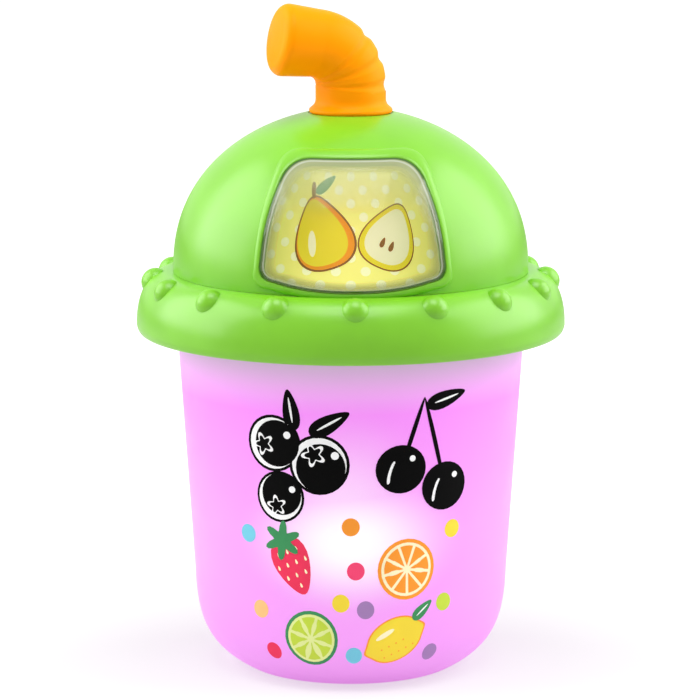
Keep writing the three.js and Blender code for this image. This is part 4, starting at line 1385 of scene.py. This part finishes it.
def print_strawberry(sheet, centre, length, turn):
    print_marks(sheet, strawberry_body_shares, centre, length, turn)
    for row, count in strawberry_pip_row_shares:
        for number in range(count):
            across = (number - (count - 1) / 2) * strawberry_pip_gap_share
            pip = ("cream", drop_outline, strawberry_pip_shares, (across, row), 0, 2, 2)
            print_marks(sheet, [pip], centre, length, turn)
    print_marks(sheet, strawberry_cap_shares, centre, length, turn)


def print_line(sheet, shade, start, end, width, layer=2):
    """A thin straight stroke between two points, such as a stem."""
    across, along = end[0] - start[0], end[1] - start[1]
    centre = ((start[0] + end[0]) / 2, (start[1] + end[1]) / 2)
    outline = round_outline(math.hypot(across, along), width)
    sheet.add(shade, outline, centre, math.atan2(along, across) / degree, layer, rings=3)


def print_cherries(sheet, joint, first, second, width):
    for place in (first, second):
        print_line(sheet, "black", joint, place, width * cherry_stalk_share)
        print_marks(sheet, cherry_mark_shares, place, width, 0)


def print_lemon(sheet, centre, length, turn):
    print_marks(sheet, lemon_mark_shares, centre, length, turn)
    for row, count in lemon_pore_row_shares:
        for number in range(count):
            spot = ((number - 2) * lemon_pore_gap_share, row)
            pore = ("orange", round_outline, (lemon_pore_share,), spot, None, 3, 1)
            print_marks(sheet, [pore], centre, length, turn)


def print_pear(sheet, centre, height, turn):
    print_marks(sheet, pear_mark_shares, centre, height, turn)
    ends = [turned_point(centre, height * across, height * up, turn)
            for across, up in pear_stem_shares]
    print_line(sheet, "brown", *ends, height * pear_stem_width_share, layer=4)


# Prints on the cup: dark berries and cherries above, cut fruit and dots below. A place is
# measured round from the front and up. Places and sizes are in millimetres, turns in degrees
cup_leaves = (
    ("black", (-6, 80), 13, 7, -60), ("black", (-17, 83.5), 12, 6.5, 8),
    ("black", (28, 86), 13, 6.5, -76))
cup_green_leaf = ("leaf", (22.5, 24.5), 8, 4.5, -50)
cup_berries = (((-22.5, 73.5), 16.5, 40), ((-9, 68), 17.5, -30), ((-21, 58), 15, 100))
cup_cherries = ((21, 87), (14.5, 66.5), (28.5, 60.5), 15)
cup_strawberry = ((-17.5, 38), 18, 24)
cup_wheels = (
    ((17, 37), 18, ("orange", "cream", "orange"), 9, 12),
    ((-12.5, 16.5), 17, ("leaf", "pale lime", "lime"), 8, 5))
cup_lemon = ((14, 16), 19, 24)
cup_dot_width = 5.3
cup_dots = (
    (0, 50, "orange"), (-32.5, 46, "teal"), (1.5, 37, "rose"), (-3, 27.5, "yellow"),
    (4.5, 25.5, "purple"), (-29, 24, "peach"), (30, 26, "lime"), (1, 11.5, "teal"),
    (32, 47.5, "yellow"), (-26, 11.5, "red"), (27, 11, "purple"))


def print_cup_prints():
    sheet = PrintSheet("cup_print", on_cup, "housing", "print", cup_ink)
    for motif, rows in ((print_leaf, cup_leaves), (print_berry, cup_berries),
                        (print_cherries, [cup_cherries]), (print_strawberry, [cup_strawberry]),
                        (print_wheel, cup_wheels), (print_lemon, [cup_lemon]),
                        (print_leaf, [cup_green_leaf])):
        for row in rows:
            motif(sheet, *row)
    for around, height, shade in cup_dots:
        sheet.add(shade, round_outline(cup_dot_width), (around, height), rings=3)
    sheet.finish()


# Prints on the band, one fruit on each panel, measured as on the cup but up from its middle
band_pear = ((-8, -1), 21, 20)
half_pear_place = (11, -2)
half_pear_turn = -28
half_pear_layers = (("brown", 19, 15.5), ("yellow", 18.2, 14.7), ("cream", 15.6, 12.2))
half_pear_pips = (1.3, -2.6, 3, 1.7)
band_strawberry = (18, 10)
band_wheel = (19, ("leaf", "pale lime", "lime"), 8, 0)
grape_rows = ((5, 3), (0.5, 4), (-4, 3), (-8, 1))
grape_spacing = 5
grape_layers = (("plum", 5.6, 0, 3), ("purple", 5, 0, 3), ("white", 1, 1, 1))


def print_band_prints():
    sheet = PrintSheet("band_print", on_band, "straw_and_drum", "print", band_ink)
    middle = (band_low.z + band_high.z) / 2
    panel = math.tau / panel_count * band_radius(middle) / mm
    middle /= mm
    (across, up), height, turn = band_pear
    print_pear(sheet, (across, middle + up), height, turn)
    half = (half_pear_place[0], middle + half_pear_place[1])
    for layer, (shade, height, width) in enumerate(half_pear_layers, 1):
        sheet.add(shade, pear_outline(height, width), half, half_pear_turn, layer)
    across, up, length, width = half_pear_pips
    for side in (-1, 1):
        pip = turned_point(half, side * across, up, half_pear_turn)
        sheet.add("brown", drop_outline(length, width), pip, half_pear_turn, layer=4, rings=2)
    print_strawberry(sheet, (panel, middle), *band_strawberry)
    print_wheel(sheet, (2 * panel, middle), *band_wheel)
    for row, count in grape_rows:
        for number in range(count):
            place = (-panel + (number - (count - 1) / 2) * grape_spacing, middle + row)
            for layer, (shade, width, shift, rings) in enumerate(grape_layers, 1):
                spot = (place[0] - shift, place[1] + shift)
                sheet.add(shade, round_outline(width), spot, layer=layer, rings=rings)
    sheet.finish()


# Build
bpy.context.scene.view_settings.view_transform = "Standard"
finish_frame_nodes()
dress(model_cup(), "housing", "cup", lit_cup, "cup_shell")
dress(model_brim(), "housing", "lid", lid_green, "brim")
dress(model_dome(), "housing", "lid", lid_green, "dome_shell")
dress(model_window_frame(), "housing", "lid", lid_green)
dress(model_lens(), "housing", "lens", clear_pane, "window_lens")
dress(model_sound_cloth(), "housing", "speaker", slot_materials["speaker"])
dress(model_straw(), "straw_and_drum", "straw", straw_orange, "straw")
dress(model_band(), "straw_and_drum", "print", band_base, "picture_band")
print_cup_prints()
print_band_prints()
add_camera()
add_lamps()
add_floor()
light_world()
